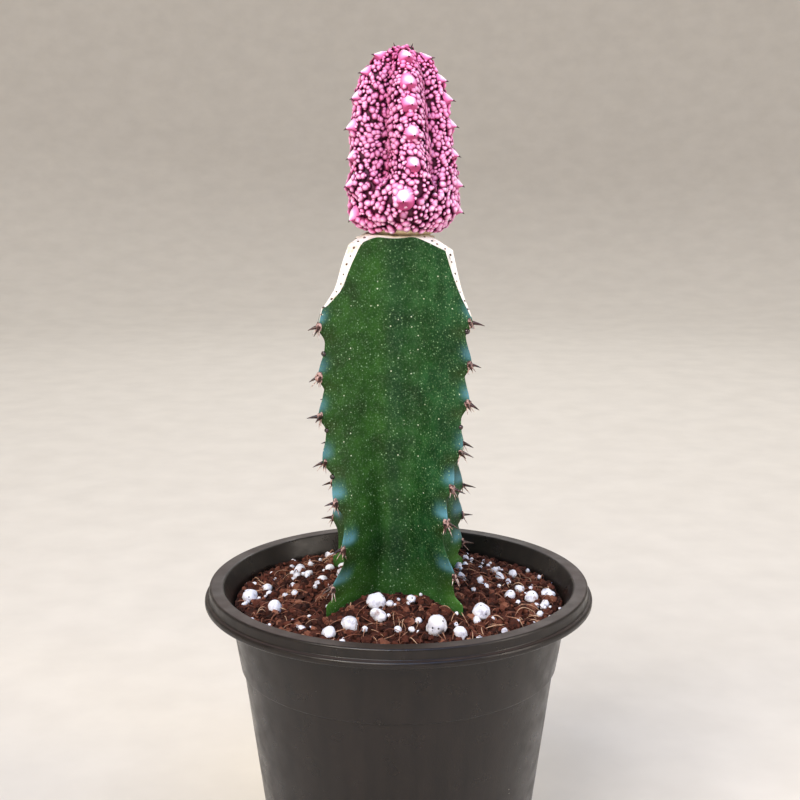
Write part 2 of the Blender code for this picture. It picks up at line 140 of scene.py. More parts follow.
def tubes(centres, radii, sides):
    # a ring round each point of each path: centre + radius * (cos * across + sin * up), both square to the path
    along = unit(np.gradient(centres, axis=1))
    helper = np.zeros(3)
    helper[np.argmin(np.abs(along).mean(axis=(0, 1)))] = 1.0
    across = unit(np.cross(along, helper))
    up = np.cross(along, across)
    turn = np.arange(sides) * 2 * pi / sides
    ring = across[:, :, None] * np.cos(turn)[:, None] + up[:, :, None] * np.sin(turn)[:, None]
    return centres[:, :, None] + radii[:, :, None, None] * ring


def randomTurns(rng, count):
    # rotation matrices from random unit quaternions
    w, x, y, z = unit(rng.normal(size=(count, 4))).T
    return np.stack((
        np.stack((1 - 2 * (y * y + z * z), 2 * (x * y - w * z), 2 * (x * z + w * y)), -1),
        np.stack((2 * (x * y + w * z), 1 - 2 * (x * x + z * z), 2 * (y * z - w * x)), -1),
        np.stack((2 * (x * z - w * y), 2 * (y * z + w * x), 1 - 2 * (x * x + y * y)), -1),
    ), -2)


def lumps(rng, places, sizes, rows, columns, roughness):
    # unit balls with each point pushed in or out at random, stretched to their sizes, turned at random and placed
    lean = pi * np.arange(1, rows + 1) / (rows + 1)
    turn = np.arange(columns) * 2 * pi / columns
    ball = np.stack((
        np.sin(lean)[:, None] * np.cos(turn),
        np.sin(lean)[:, None] * np.sin(turn),
        -np.cos(lean)[:, None] * np.ones(columns),
    ), -1)
    push = 1 + roughness * rng.uniform(-1, 1, (len(places), rows, columns, 1))
    turns = randomTurns(rng, len(places))
    rings = np.einsum("nij,nrcj->nrci", turns, ball * push * sizes[:, None, None])
    ends = np.einsum("nij,nej->nei", turns, np.array([[0, 0, -1.0], [0, 0, 1.0]]) * sizes[:, None])
    return ringSkins(rings + places[:, None, None], ends + places[:, None])


# Materials

def linear(hexColour):
    # sRGB to linear light
    parts = (int(hexColour[i:i + 2], 16) / 255 for i in (1, 3, 5))
    return (*(c / 12.92 if c <= 0.04045 else ((c + 0.055) / 1.055) ** 2.4 for c in parts), 1.0)


def addNode(tree, kind, inputs=None, stops=None, **settings):
    # adds a node, sets its fields and ramp stops, and fills its sockets with values or with links
    node = tree.nodes.new("ShaderNode" + kind)
    for field, value in settings.items():
        setattr(node, field, value)
    for i, (place, colour) in enumerate(stops or ()):
        element = node.color_ramp.elements[i] if i < 2 else node.color_ramp.elements.new(place)
        element.position = place
        element.color = colour
    for socket, value in (inputs or {}).items():
        if isinstance(value, bpy.types.NodeSocket):
            tree.links.new(value, node.inputs[socket])
        else:
            node.inputs[socket].default_value = value
    return node


def newMaterial(name, **constants):
    # a Principled material; its constants are set on the shader's own sockets
    material = bpy.data.materials.new(name)
    material.use_nodes = True
    tree = material.node_tree
    shader = tree.nodes["Principled BSDF"]
    for socket, value in constants.items():
        shader.inputs[socket.replace("_", " ")].default_value = value
    place = addNode(tree, "TexCoord").outputs["Object"]
    return material, tree, shader, place


def mixColours(tree, amount, first, second):
    return addNode(tree, "Mix", {0: amount, 6: first, 7: second}, data_type="RGBA").outputs[2]


grey = lambda level: (level, level, level, 1.0)


# Pot

potShape = {
    "height": 0.0987, "wall": 0.0009,
    "beadRadius": 0.0546, "beadHeight": 0.0021, "rimRadius": 0.0533, "rimInnerRadius": 0.0493, "rimDepth": 0.0052,
    "collarTopRadius": 0.0479, "collarFootRadius": 0.0448, "collarFootZ": 0.0748,
    "bodyTopRadius": 0.0441, "footRadius": 0.0345, "footRing": 0.0057,
    "floorRecess": 0.003, "floorThickness": 0.0015, "floorFan": 0.002,
    "drainHoles": 6, "drainRadius": 0.0035, "drainCircle": 0.0215,
    "steps": 288, "cornerPoints": 9,
}


def potRadius(z):
    # outer radius of the tapered body
    return potShape["footRadius"] + (potShape["bodyTopRadius"] - potShape["footRadius"]) * z / potShape["collarFootZ"]


def potInnerRadius(z):
    # inner radius of the wall: the taper below the collar, a straight flare in it
    foot = potShape["collarFootRadius"] - potShape["wall"]
    top = potShape["collarTopRadius"] - potShape["wall"]
    collar = potShape["height"] - potShape["rimDepth"] - potShape["collarFootZ"]
    flare = foot + (top - foot) * (z - potShape["collarFootZ"]) / collar
    return np.where(z <= potShape["collarFootZ"], potRadius(z) - potShape["wall"], flare)


def potSection():
    # radius, height and corner rounding, from the underside's middle out, up and back inside
    p = potShape
    rimFoot = p["height"] - p["rimDepth"]
    floor = p["floorRecess"] + p["floorThickness"]
    return [
        (p["floorFan"], p["floorRecess"], 0.0),
        (p["footRadius"] - p["footRing"] - 0.0004, p["floorRecess"], 0.0006),
        (p["footRadius"] - p["footRing"], 0.0, 0.0006),
        (p["footRadius"], 0.0, 0.0011),
        (p["bodyTopRadius"], p["collarFootZ"] - 0.0003, 0.00025),
        (p["collarFootRadius"], p["collarFootZ"], 0.00025),
        (p["collarTopRadius"], rimFoot, 0.0012),
        (p["rimInnerRadius"] - 0.0002, p["height"] - 0.0012, 0.0005),
        (p["rimRadius"] - 0.0011, p["height"] - 0.0013, 0.0005),
        (p["beadRadius"] - 0.0019, rimFoot + 0.0002, 0.0005),
        (p["beadRadius"], rimFoot + 0.0001, 0.0009),
        (p["beadRadius"], rimFoot + p["beadHeight"], 0.0009),
        (p["rimRadius"] + 0.0001, rimFoot + p["beadHeight"] + 0.0001, 0.0004),
        (p["rimRadius"], p["height"], 0.0008),
        (p["rimInnerRadius"], p["height"], 0.0007),
        (p["collarTopRadius"] - p["wall"], rimFoot, 0.0012),
        (p["collarFootRadius"] - p["wall"], p["collarFootZ"] + 0.0012, 0.0003),
        (p["bodyTopRadius"] - p["wall"], p["collarFootZ"], 0.0003),
        (float(potInnerRadius(floor)), floor, 0.0008),
        (p["floorFan"], floor, 0.0),
    ]


def roundedPath(corners, count):
    # each corner becomes a curve: (1-t)^2 * start + 2t(1-t) * corner + t^2 * end, with start and end on its two sides
    places = np.array(corners)[:, :2]
    path = [places[:1]]
    t = np.linspace(0, 1, count)[:, None]
    for before, here, after, size in zip(places, places[1:], places[2:], np.array(corners)[1:, 2]):
        start = here + unit(before - here) * size
        end = here + unit(after - here) * size
        path.append((1 - t) ** 2 * start + 2 * t * (1 - t) * here + t ** 2 * end)
    return np.concatenate(path + [places[-1:]])


def subdivided(path, longest):
    # points along the straight stretches, so that no step is longer than that
    parts = []
    for start, end in zip(path, path[1:]):
        count = max(1, int(np.ceil(np.linalg.norm(end - start) / longest)))
        parts.append(start + (end - start) * (np.arange(count) / count)[:, None])
    return np.concatenate(parts + [path[-1:]])


def blackPolypropylene():
    # injection-moulded black polypropylene: satin, faintly brown, with a fine orange-peel grain, dust that lies
    # on what faces up, pale specks of grit and duller scuffs
    material, tree, shader, place = newMaterial("mouldedBlackPolypropylene", IOR=1.49, Specular_IOR_Level=0.4)
    flat = addNode(tree, "Attribute", attribute_name="dust").outputs["Fac"]
    cloud = addNode(tree, "TexNoise", {"Vector": place, "Scale": 55.0, "Detail": 4.0}).outputs["Fac"]
    streaks = addNode(tree, "TexNoise", {
        "Vector": addNode(tree, "Mapping", {"Vector": place, "Scale": (1.0, 1.0, 0.08)}).outputs[0],
        "Scale": 260.0, "Detail": 3.0,
    }).outputs["Fac"]
    body = addNode(tree, "ValToRGB", {0: streaks}, stops=[
        (0.30, linear("#120e0c")), (0.70, linear("#1e1815")),
    ]).outputs[0]
    dustAmount = addNode(tree, "Math", {
        0: flat,
        1: addNode(tree, "MapRange", {
            "Value": cloud, "From Min": 0.3, "From Max": 0.7, "To Min": 0.35, "To Max": 0.85,
        }).outputs[0],
    }, operation="MULTIPLY").outputs[0]
    dusty = mixColours(tree, dustAmount, body, linear("#4a3e3a"))
    grit = addNode(tree, "TexVoronoi", {"Vector": place, "Scale": 330.0})
    chosen = addNode(tree, "SeparateColor", {0: grit.outputs["Color"]})
    near = addNode(tree, "Math", {0: grit.outputs["Distance"], 1: 0.055}, operation="LESS_THAN").outputs[0]
    rare = addNode(tree, "Math", {0: chosen.outputs[0], 1: 0.90}, operation="GREATER_THAN").outputs[0]
    speck = addNode(tree, "Math", {0: near, 1: rare}, operation="MULTIPLY").outputs[0]
    tree.links.new(mixColours(tree, speck, dusty, linear("#8a837c")), shader.inputs["Base Color"])
    gloss = addNode(tree, "MapRange", {
        "Value": addNode(tree, "TexNoise", {"Vector": place, "Scale": 180.0, "Detail": 5.0}).outputs["Fac"],
        "From Min": 0.35, "From Max": 0.65, "To Min": 0.26, "To Max": 0.42,
    }).outputs[0]
    dull = addNode(tree, "Math", {0: dustAmount, 1: 0.35}, operation="MULTIPLY").outputs[0]
    tree.links.new(addNode(tree, "Math", {0: gloss, 1: dull}).outputs[0], shader.inputs["Roughness"])
    grain = addNode(tree, "TexNoise", {"Vector": place, "Scale": 2200.0, "Detail": 2.0}).outputs["Fac"]
    bump = addNode(tree, "Bump", {"Height": grain, "Strength": 0.12, "Distance": 0.0002})
    tree.links.new(bump.outputs[0], shader.inputs["Normal"])
    return material


def makePot():
    path = subdivided(roundedPath(potSection(), potShape["cornerPoints"]), 0.006)
    turn = np.arange(potShape["steps"]) * 2 * pi / potShape["steps"]
    radius, z = path[:, :1], path[:, 1:]
    rings = np.stack((radius * np.cos(turn), radius * np.sin(turn), z + 0 * turn), -1)
    slope = np.gradient(path, axis=0)
    lies = smoothStep((-slope[:, :1] / np.linalg.norm(slope, axis=1, keepdims=True) - 0.85) / 0.13) + 0 * turn
    pot = makePiece(
        "potBody", ringSkins(rings[None]), blackPolypropylene(), sharpAngle=50,
        attributes={"dust": perPoint(lies[None])},
    )
    for i in range(potShape["drainHoles"]):
        angle = (i + 0.5) * 2 * pi / potShape["drainHoles"]
        bm = bmesh.new()
        bmesh.ops.create_cone(
            bm, cap_ends=True, segments=32, depth=4 * potShape["floorThickness"],
            radius1=potShape["drainRadius"], radius2=potShape["drainRadius"],
            matrix=Matrix.Translation((
                potShape["drainCircle"] * np.cos(angle), potShape["drainCircle"] * np.sin(angle),
                potShape["floorRecess"],
            )),
        )
        mesh = bpy.data.meshes.new("drainCutter")
        bm.to_mesh(mesh)
        bm.free()
        cutter = bpy.data.objects.new("drainCutter", mesh)
        bpy.context.scene.collection.objects.link(cutter)
        cut = pot.modifiers.new("drain", "BOOLEAN")
        cut.operation = "DIFFERENCE"
        cut.object = cutter
        bpy.context.view_layer.objects.active = pot
        bpy.ops.object.modifier_apply(modifier=cut.name)
        bpy.data.objects.remove(cutter, do_unlink=True)
    settle(pot, "pot_plastic", "pot")


# Stock: four thin wings whose crests carry teeth, cut off at the top for the graft

stockShape = {
    "axisX": -0.0010, "topZ": 0.1972, "soilZ": 0.0982, "holeDepth": 0.0122,
    "wingRadius": 0.0282, "grooveRadius": 0.0107, "wingSharpness": 7.0, "crestSharpness": 12.0,
    "crestRound": 0.022,
    "wingAngles": np.array([-135.5, -44.5, 45.0, 131.0]),
    "waistTurns": np.array([16.0, -16.0, 0.0, 0.0]),
    "waistHeights": np.array([0.117, 0.121, 0.117, 0.117]),
    "waistSpans": np.array([0.017, 0.021, 0.017, 0.017]),
    "toothRise": 0.0027, "toothAbove": 0.0052, "toothBelow": 0.0026,
    "wingTeeth": (
        (0.1035, 0.1150, 0.1275, 0.1380, 0.1502, 0.1607, 0.1740),
        (0.1073, 0.1224, 0.1315, 0.1410, 0.1537, 0.1641, 0.1752),
        (0.1035, 0.1120, 0.1211, 0.1337, 0.1450, 0.1565, 0.1680),
        (0.1108, 0.1215, 0.1340, 0.1465, 0.1580, 0.1690),
    ),
    # for each wing, how far the knife's cut has dropped at each distance from the axis
    "wingCuts": (
        ((0.0085, 0.0144, 0.0178, 0.0190, 0.0204, 0.0248, 0.0267, 0.0300),
         (0.0, 0.0020, 0.0077, 0.0103, 0.0137, 0.0176, 0.0186, 0.0300)),
        ((0.0090, 0.0200, 0.0216, 0.0242, 0.0281, 0.0450), (0.0, 0.0038, 0.0086, 0.0146, 0.0207, 0.0480)),
        ((0.0070, 0.0184, 0.0450), (0.0, 0.0095, 0.0595)),
        ((0.0070, 0.0184, 0.0450), (0.0, 0.0095, 0.0595)),
    ),
    # direction, distance and slope of the shallow cuts over the four faces
    "faceCuts": ((-90.0, 0.0084, 22.0), (0.0, 0.0078, 26.0), (90.0, 0.0070, 20.0), (180.0, 0.0072, 28.0)),
    "eyes": ((0, 0.1668), (0, 0.1462), (0, 0.1340), (1, 0.1728), (1, 0.1473), (2, 0.1510), (3, 0.1522), (3, 0.1280)),
    "wingColumns": 60, "straightRows": 250, "topRows": 70, "topFrom": 0.1705, "cutRows": 44,
}


def wingTurns(z):
    # each wing's angle at a height: its own, and a lean that is strongest at its waist
    away = (np.asarray(z)[..., None] - stockShape["waistHeights"]) / stockShape["waistSpans"]
    return np.radians(stockShape["wingAngles"] + stockShape["waistTurns"] * np.exp(-away ** 2))


def toothProfile(z, teeth):
    # 1 at each tooth, with a long slope above it and a short one below
    rise = np.zeros_like(z)
    for tooth in teeth:
        slope = np.where(z > tooth, stockShape["toothAbove"], stockShape["toothBelow"])
        rise = np.maximum(rise, np.exp(-((z - tooth) / slope) ** 2))
    return rise


def stockNear(share):
    # 1 on a crest and 0 in the middle of a face, rounded over at the crest
    roundness = stockShape["crestRound"]
    return 1 - (np.sqrt(share ** 2 + roundness ** 2) - roundness) / (np.sqrt(1 + roundness ** 2) - roundness)


def stockPoint(wing, share, z):
    # x and y of the section: radius = groove + (wing - groove) * near^7 - dip * near^12, where the dip is the
    # hollow between teeth; share goes from -1 to 1 over the half faces on both sides of a crest
    angles = wingTurns(z)
    pick = lambda number: np.take_along_axis(angles, (number % 4)[..., None], -1)[..., 0]
    here = pick(wing)
    after = pick(wing + 1) + 2 * pi * (wing == 3)
    before = pick(wing - 1) - 2 * pi * (wing == 0)
    turn = here + share * np.where(share > 0, after - here, here - before) / 2
    near = stockNear(share)
    rise = np.zeros_like(z)
    for number, teeth in enumerate(stockShape["wingTeeth"]):
        rise = np.where(wing == number, toothProfile(z, teeth), rise)
    dip = stockShape["toothRise"] * (1 - rise) * smoothStep((z - stockShape["soilZ"]) / 0.0025)
    reach = stockShape["grooveRadius"]
    reach = reach + (stockShape["wingRadius"] - stockShape["grooveRadius"]) * near ** stockShape["wingSharpness"]
    reach = reach - dip * near ** stockShape["crestSharpness"]
    return np.stack((stockShape["axisX"] + reach * np.cos(turn), reach * np.sin(turn)), -1)


def cutHeight(flat):
    # height of the knife's cuts over a place, as their soft minimum, so that the edges between them are rounded
    softness = 0.00012
    away = lambda turn: (flat[..., 0] - stockShape["axisX"]) * np.cos(turn) + flat[..., 1] * np.sin(turn)
    heights = [np.full(flat.shape[:-1], stockShape["topZ"])]
    for turn, (distances, drops) in zip(wingTurns(stockShape["topZ"]), stockShape["wingCuts"]):
        heights.append(stockShape["topZ"] - np.interp(away(turn), distances, drops))
    for direction, distance, slope in stockShape["faceCuts"]:
        drop = (away(radians(direction)) - distance) * np.tan(radians(slope))
        heights.append(stockShape["topZ"] - drop)
    lowest = np.min(heights, axis=0)
    return lowest - softness * np.log(np.sum(np.exp(-(np.array(heights) - lowest) / softness), axis=0))


def crestPoint(wing, z, sink=0.0):
    # a point on a wing's crest and the directions out from it and along the wing's thickness
    wing = np.asarray(wing)
    z = np.asarray(z, float)
    flat = stockPoint(wing, np.zeros_like(z), z)
    turn = np.take_along_axis(wingTurns(z), wing[..., None], -1)[..., 0]
    out = np.stack((np.cos(turn), np.sin(turn), 0 * turn), -1)
    side = np.stack((-np.sin(turn), np.cos(turn), 0 * turn), -1)
    return np.concatenate((flat, z[..., None]), -1) - sink * out, out, side


def stemSkin():
    # living stem skin: waxy and deep green, with painted warm light making the left side yellower and painted cool
    # light making the right side bluer, painted shade down the middle of each face, a blue bloom over each tooth, olive
    # under it, pale stomata specks all over (0.3 to 0.6 mm apart in life, drawn as coarse as needed), and moist cream
    # flesh where the knife went
    material, tree, shader, place = newMaterial("waxyStemSkin", IOR=1.42, Specular_IOR_Level=0.25)
    value = lambda name: addNode(tree, "Attribute", attribute_name=name).outputs["Fac"]
    mottle = addNode(tree, "TexNoise", {
        "Vector": place, "Scale": 150.0, "Detail": 6.0, "Roughness": 0.65,
    }).outputs["Fac"]
    cloud = addNode(tree, "TexNoise", {"Vector": place, "Scale": 60.0, "Detail": 2.0}).outputs["Fac"]
    grain = addNode(tree, "TexNoise", {
        "Vector": place, "Scale": 1900.0, "Detail": 3.0, "Roughness": 0.7,
    }).outputs["Fac"]
    warm = addNode(tree, "ValToRGB", {0: mottle}, stops=[
        (0.34, linear("#143208")), (0.50, linear("#1c4210")), (0.66, linear("#2a5519")),
    ]).outputs[0]
    cool = addNode(tree, "ValToRGB", {0: mottle}, stops=[
        (0.34, linear("#0d2e16")), (0.50, linear("#143c1f")), (0.66, linear("#22512f")),
    ]).outputs[0]
    # painted light: towards the right the skin mixes from the warm ramp into the cool one, as painted cool light on
    # that side
    sideways = addNode(tree, "SeparateXYZ", {0: place}).outputs[0]
    paintedCoolLight = addNode(tree, "MapRange", {
        "Value": addNode(tree, "Math", {0: cloud, 1: 0.030, 2: sideways}, operation="MULTIPLY_ADD").outputs[0],
        "From Min": 0.008, "From Max": 0.024, "To Min": 0.0, "To Max": 0.75,
    }).outputs[0]
    skin = mixColours(tree, paintedCoolLight, warm, cool)
    # painted shade: darker down the middle of each face, in the groove between the wings
    skin = mixColours(tree, value("paintedFaceShade"), skin, linear("#0c2c1c"))
    skin = mixColours(tree, value("olive"), skin, linear("#26340e"))
    skin = mixColours(tree, value("paleFoot"), skin, linear("#4b7c31"))
    pale = mixColours(tree, 0.28, skin, linear("#7f9f76"))
    fleck = addNode(tree, "MapRange", {"Value": grain, "From Min": 0.52, "From Max": 0.74}).outputs[0]
    skin = mixColours(tree, fleck, skin, pale)
    skin = mixColours(tree, value("bloom"), skin, linear("#6aa6bc"))
    for scale, size, share, colour in (
        (1500.0, 0.32, 0.60, "#56794f"), (950.0, 0.22, 0.36, "#86a67c"), (560.0, 0.13, 0.24, "#d6e2c2"),
    ):
        cells = addNode(tree, "TexVoronoi", {"Vector": place, "Scale": scale})
        chosen = addNode(tree, "SeparateColor", {0: cells.outputs["Color"]}).outputs[0]
        near = addNode(tree, "MapRange", {
            "Value": cells.outputs["Distance"], "From Min": size, "From Max": size * 0.5,
        }).outputs[0]
        kept = addNode(tree, "Math", {0: chosen, 1: 1 - share}, operation="GREATER_THAN").outputs[0]
        speck = addNode(tree, "Math", {0: near, 1: kept}, operation="MULTIPLY").outputs[0]
        skin = mixColours(tree, speck, skin, linear(colour))
    stain = addNode(tree, "TexNoise", {"Vector": place, "Scale": 420.0, "Detail": 4.0}).outputs["Fac"]
    fleshColour = addNode(tree, "ValToRGB", {0: stain}, stops=[
        (0.30, linear("#d8cbb0")), (0.42, linear("#eee9dd")), (0.75, linear("#f6f3ec")),
    ]).outputs[0]
    browned = addNode(tree, "MapRange", {"Value": stain, "From Min": 0.44, "From Max": 0.60}).outputs[0]
    browned = addNode(tree, "Math", {0: value("stained"), 1: browned}, operation="MULTIPLY").outputs[0]
    fleshColour = mixColours(tree, browned, fleshColour, linear("#8d6a45"))
    fleshy = addNode(tree, "MapRange", {"Value": value("flesh"), "From Min": 0.35, "From Max": 0.65}).outputs[0]
    tree.links.new(mixColours(tree, fleshy, skin, fleshColour), shader.inputs["Base Color"])
    tree.links.new(addNode(tree, "MapRange", {
        "Value": mottle, "From Min": 0.3, "From Max": 0.7, "To Min": 0.40, "To Max": 0.56,
    }).outputs[0], shader.inputs["Roughness"])
    bump = addNode(tree, "Bump", {"Height": grain, "Strength": 0.3, "Distance": 0.0002})
    tree.links.new(bump.outputs[0], shader.inputs["Normal"])
    return material


def makeStock():
    s = stockShape
    step = np.linspace(-1, 1, s["wingColumns"] + 1)[:-1]
    share = np.tile(np.sign(step) * np.abs(step) ** 2.0, 4)
    wing = np.repeat(np.arange(4), s["wingColumns"])
    low = np.full(len(wing), s["topFrom"])
    high = np.full(len(wing), s["topZ"])
    for _ in range(30):     # halving steps towards the height where the wall meets the knife's cuts
        middle = (low + high) / 2
        inside = middle < cutHeight(stockPoint(wing, share, middle))
        low = np.where(inside, middle, low)
        high = np.where(inside, high, middle)
    # level rows up to the lowest cut, then rows that spread up to the cut's edge
    level = np.linspace(s["soilZ"], s["topFrom"], s["straightRows"])[:, None] + 0 * high
    spread = level[-1] + (high - level[-1]) * np.linspace(0, 1, s["topRows"] + 1)[1:, None]
    z = np.concatenate((level, spread))
    wings = wing + 0 * z.astype(int)
    shares = share + 0 * z
    flat = stockPoint(wings, shares, z)
    near = stockNear(shares)
    wall = np.concatenate((flat, z[..., None]), -1)
    # a gentle swell over the skin, none at the soil line and at the cut
    swell = 0.00020 * softNoise(wall * (1, 1, 0.5), 0.006) + 0.00009 * softNoise(wall, 0.0022)
    free = smoothStep((z - s["soilZ"]) / 0.003) * smoothStep((high - z) / 0.002)
    outwards = unit(flat - np.array((s["axisX"], 0)))
    wall[..., :2] += outwards * (swell * free)[..., None]
    depths = s["soilZ"] - np.array([s["holeDepth"], 0.004])
    buried = wall[:1] * (1, 1, 0) + np.array((0, 0, 1)) * depths[:, None, None]
    # the cut: lines from the wall's top to the axis, at the height of the knife's cuts, a little hollow inside
    inward = (np.arange(1, s["cutRows"]) / s["cutRows"])[:, None, None] ** 1.25
    cutFlat = flat[-1:] + (np.array((s["axisX"], 0)) - flat[-1:]) * inward
    edge = np.linalg.norm(cutFlat - flat[-1:], axis=-1)
    cut = np.concatenate((cutFlat, (cutHeight(cutFlat) - 0.00018 * smoothStep(edge / 0.0007))[..., None]), -1)
    cut[..., 2] += 0.00005 * softNoise(cut, 0.0011) - 0.00005
    rings = np.concatenate((buried, wall, cut))
    skinRows = len(buried) + len(wall)

    def overTeeth(offset, above, below):
        total = np.zeros_like(z)
        for number, teeth in enumerate(s["wingTeeth"]):
            for tooth in teeth:
                away = z - tooth - offset
                hump = np.exp(-(away / np.where(away > 0, above, below)) ** 2)
                total = np.where(wings == number, np.maximum(total, hump), total)
        return total

    patch = 0.5 + 0.5 * softNoise(wall, 0.004)
    crest = near ** s["wingSharpness"]
    lower = smoothStep((0.150 - z) / 0.03)
    values = {
        "bloom": overTeeth(0.0022, 0.0022, 0.0012) * smoothStep((crest - 0.80 + 0.20 * lower) / 0.25)
        * (0.30 + 0.70 * patch) * 0.75,
        "olive": 0.6 * overTeeth(-0.0026, 0.0018, 0.0022) * smoothStep((crest - 0.55) / 0.4),
        # painted shade down the middle of each face, between the wings
        "paintedFaceShade": 0.5 * smoothStep((0.45 - near) / 0.35) * (0.4 + 0.6 * patch),
        "paleFoot": 0.75 * smoothStep((s["soilZ"] + 0.013 - z) / 0.012) * (0.25 + 0.75 * patch) * (0.35 + 0.65 * crest),
    }
    attributes = {}
    for name, wallValues in values.items():
        whole = np.zeros(rings.shape[:2])
        whole[len(buried):skinRows] = wallValues
        attributes[name] = perPoint(whole[None])
    flesh = np.zeros(rings.shape[:2])
    flesh[skinRows - 1] = 0.5
    flesh[skinRows:] = 1.0
    attributes["flesh"] = perPoint(flesh[None])
    stained = np.zeros(rings.shape[:2])
    stained[skinRows:] = smoothStep((0.0108 - np.hypot(cut[..., 0], cut[..., 1])) / 0.003)
    attributes["stained"] = perPoint(stained[None])
    stem = makePiece("stockStem", ringSkins(rings[None]), stemSkin(), sharpAngle=40, attributes=attributes)
    settle(stem, "stock_skin", "stock")


# Thorns, their pads, prickles and buds

thornShape = {
    "length": 0.0030, "radius": 0.00052, "spread": 27.0,
    "padSize": (0.0007, 0.0009, 0.0012),    # out from the crest, across it and along it
    "prickleLength": 0.0019, "prickleRadius": 0.00021, "eyeRadius": 0.00078,
    "cutDotRadius": 0.00033, "cutDotSpacing": 0.0026,
}


def horn(name, dark, light, roughness, bumpiness=0.35):
    # dry horny tissue: dark and glossy on thorns, chalky pink-tan on the pads that they stand on
    material, tree, shader, place = newMaterial(name, IOR=1.54, Roughness=roughness)
    mottle = addNode(tree, "TexNoise", {"Vector": place, "Scale": 1300.0, "Detail": 4.0}).outputs["Fac"]
    colour = addNode(tree, "ValToRGB", {0: mottle}, stops=[(0.40, linear(dark)), (0.58, linear(light))]).outputs[0]
    tree.links.new(colour, shader.inputs["Base Color"])
    bump = addNode(tree, "Bump", {"Height": mottle, "Strength": bumpiness, "Distance": 0.0003})
    tree.links.new(bump.outputs[0], shader.inputs["Normal"])
    return material


def spines(feet, directions, lengths, radii, bend, rows=9, sides=8):
    # cones along a path that bends down as the square of the way along; the radius falls to a blunt tenth
    t = np.linspace(0, 1, rows)
    paths = feet[:, None] + directions[:, None] * (lengths[:, None] * t)[..., None]
    paths[..., 2] -= bend[:, None] * t ** 2
    return tubes(paths, radii[:, None] * (1 - 0.9 * t ** 1.15), sides)


def domes(centres, out, side, up, sizes, lift, columns):
    # rounded caps: a ring at each lift along out, with the radius of an ellipse there, sqrt(1 - lift^2)
    lift = np.asarray(lift)
    turn = np.arange(columns) * 2 * pi / columns
    spread = np.sqrt(1 - lift ** 2)[:, None]
    local = np.stack((lift[:, None] + 0 * turn, spread * np.cos(turn), spread * np.sin(turn)), -1)
    axes = np.stack((out, side, up), 1)[:, None, None]
    scaled = local[None] * sizes[:, None, None]
    rings = centres[:, None, None] + np.einsum("nrcj,nrcjk->nrck", scaled, np.broadcast_to(axes, (*scaled.shape, 3)))
    ends = centres[:, None] + np.stack((out * sizes[:, :1] * lift[0], out * sizes[:, :1]), 1)
    return rings, ends


def makeThorns():
    rng = np.random.default_rng(21)
    t = thornShape
    wing = np.concatenate([np.full(len(teeth), n) for n, teeth in enumerate(stockShape["wingTeeth"])])
    z = np.concatenate(stockShape["wingTeeth"])
    count = len(z)
    crest, out, side = crestPoint(wing, z, sink=0.0005)
    up = np.tile((0.0, 0.0, 1.0), (count, 1))
    tilted = unit(out + up * 0.15)
    growth = rng.uniform(0.80, 1.15, (count, 1))
    sizes = np.array(t["padSize"]) * growth * rng.uniform(0.85, 1.15, (count, 3))
    rings, ends = domes(crest, tilted, side, np.cross(tilted, side), sizes, np.linspace(-0.35, 0.97, 12), 26)
    rings += 0.00030 * softNoise(rings, 0.0007)[..., None] * (rings - crest[:, None, None]) / 0.001
    pads = makePiece("spineShields", ringSkins(rings, ends), horn("chalkySpineShield", "#3c1d1a", "#b9958c", 0.6, 0.9))
    settle(pads, "stock_skin")
    feet, ways, lengths, radii = [], [], [], []
    for sign in (-1, 1):
        lean = np.radians(t["spread"] + rng.uniform(-9, 12, (count, 1)))
        ways.append(unit(out * np.cos(lean) + sign * side * np.sin(lean) - up * rng.uniform(0.0, 0.45, (count, 1))))
        feet.append(crest + sign * side * 0.00045 + out * 0.0001)
        lengths.append((t["length"] + 0.0006) * rng.uniform(0.7, 1.15, count))
        radii.append(t["radius"] * rng.uniform(0.85, 1.15, count))
    skin = spines(*map(np.concatenate, (feet, ways, lengths, radii)), bend=np.full(2 * count, 0.0003))
    thorns = makePiece("thornPairs", ringSkins(skin), horn("glossyThornHorn", "#170c0b", "#43241f", 0.35, 0.3))
    settle(thorns, "stock_skin")
    feet, ways, lengths, radii = [], [], [], []
    for sign in (-1, 1, 0.35):
        lean = np.radians(rng.uniform(25, 60, (count, 1)))
        ways.append(unit(out * np.cos(lean) * 0.6 + sign * side * np.sin(lean) - up * rng.uniform(0.6, 1.5, (count, 1))))
        feet.append(crest + out * 0.0002 - up * 0.0006 * growth + sign * side * 0.0005)
        lengths.append((t["prickleLength"] + 0.0004) * rng.uniform(0.5, 1.3, count))
        radii.append(t["prickleRadius"] * rng.uniform(0.8, 1.3, count))
    skin = spines(*map(np.concatenate, (feet, ways, lengths, radii)), bend=np.full(3 * count, 0.0002), rows=6, sides=6)
    prickles = makePiece("palePrickles", ringSkins(skin), horn("palePrickleHorn", "#8b6258", "#e3d0c6", 0.5))
    settle(prickles, "stock_skin")
    eyeWing, eyeZ = map(np.array, zip(*stockShape["eyes"]))
    middle, out, side = crestPoint(eyeWing.astype(int), eyeZ, sink=0.0001)
    size = t["eyeRadius"] * rng.uniform(0.8, 1.1, (len(middle), 1)) * np.array((0.85, 1.0, 1.0))
    rings, ends = domes(middle, out, side, np.cross(out, side), size, np.linspace(-0.35, 0.97, 11), 20)
    material, tree, shader, place = newMaterial(
        "glossyBudScale", IOR=1.5, Roughness=0.16, Coat_Weight=0.6, Coat_Roughness=0.08,
    )
    freckle = addNode(tree, "TexNoise", {"Vector": place, "Scale": 1800.0}).outputs["Fac"]
    tree.links.new(addNode(tree, "ValToRGB", {0: freckle}, stops=[
        (0.4, linear("#120a0a")), (0.7, linear("#3a1f1c")),
    ]).outputs[0], shader.inputs["Base Color"])
    settle(makePiece("budEyes", ringSkins(rings, ends), material), "stock_skin")


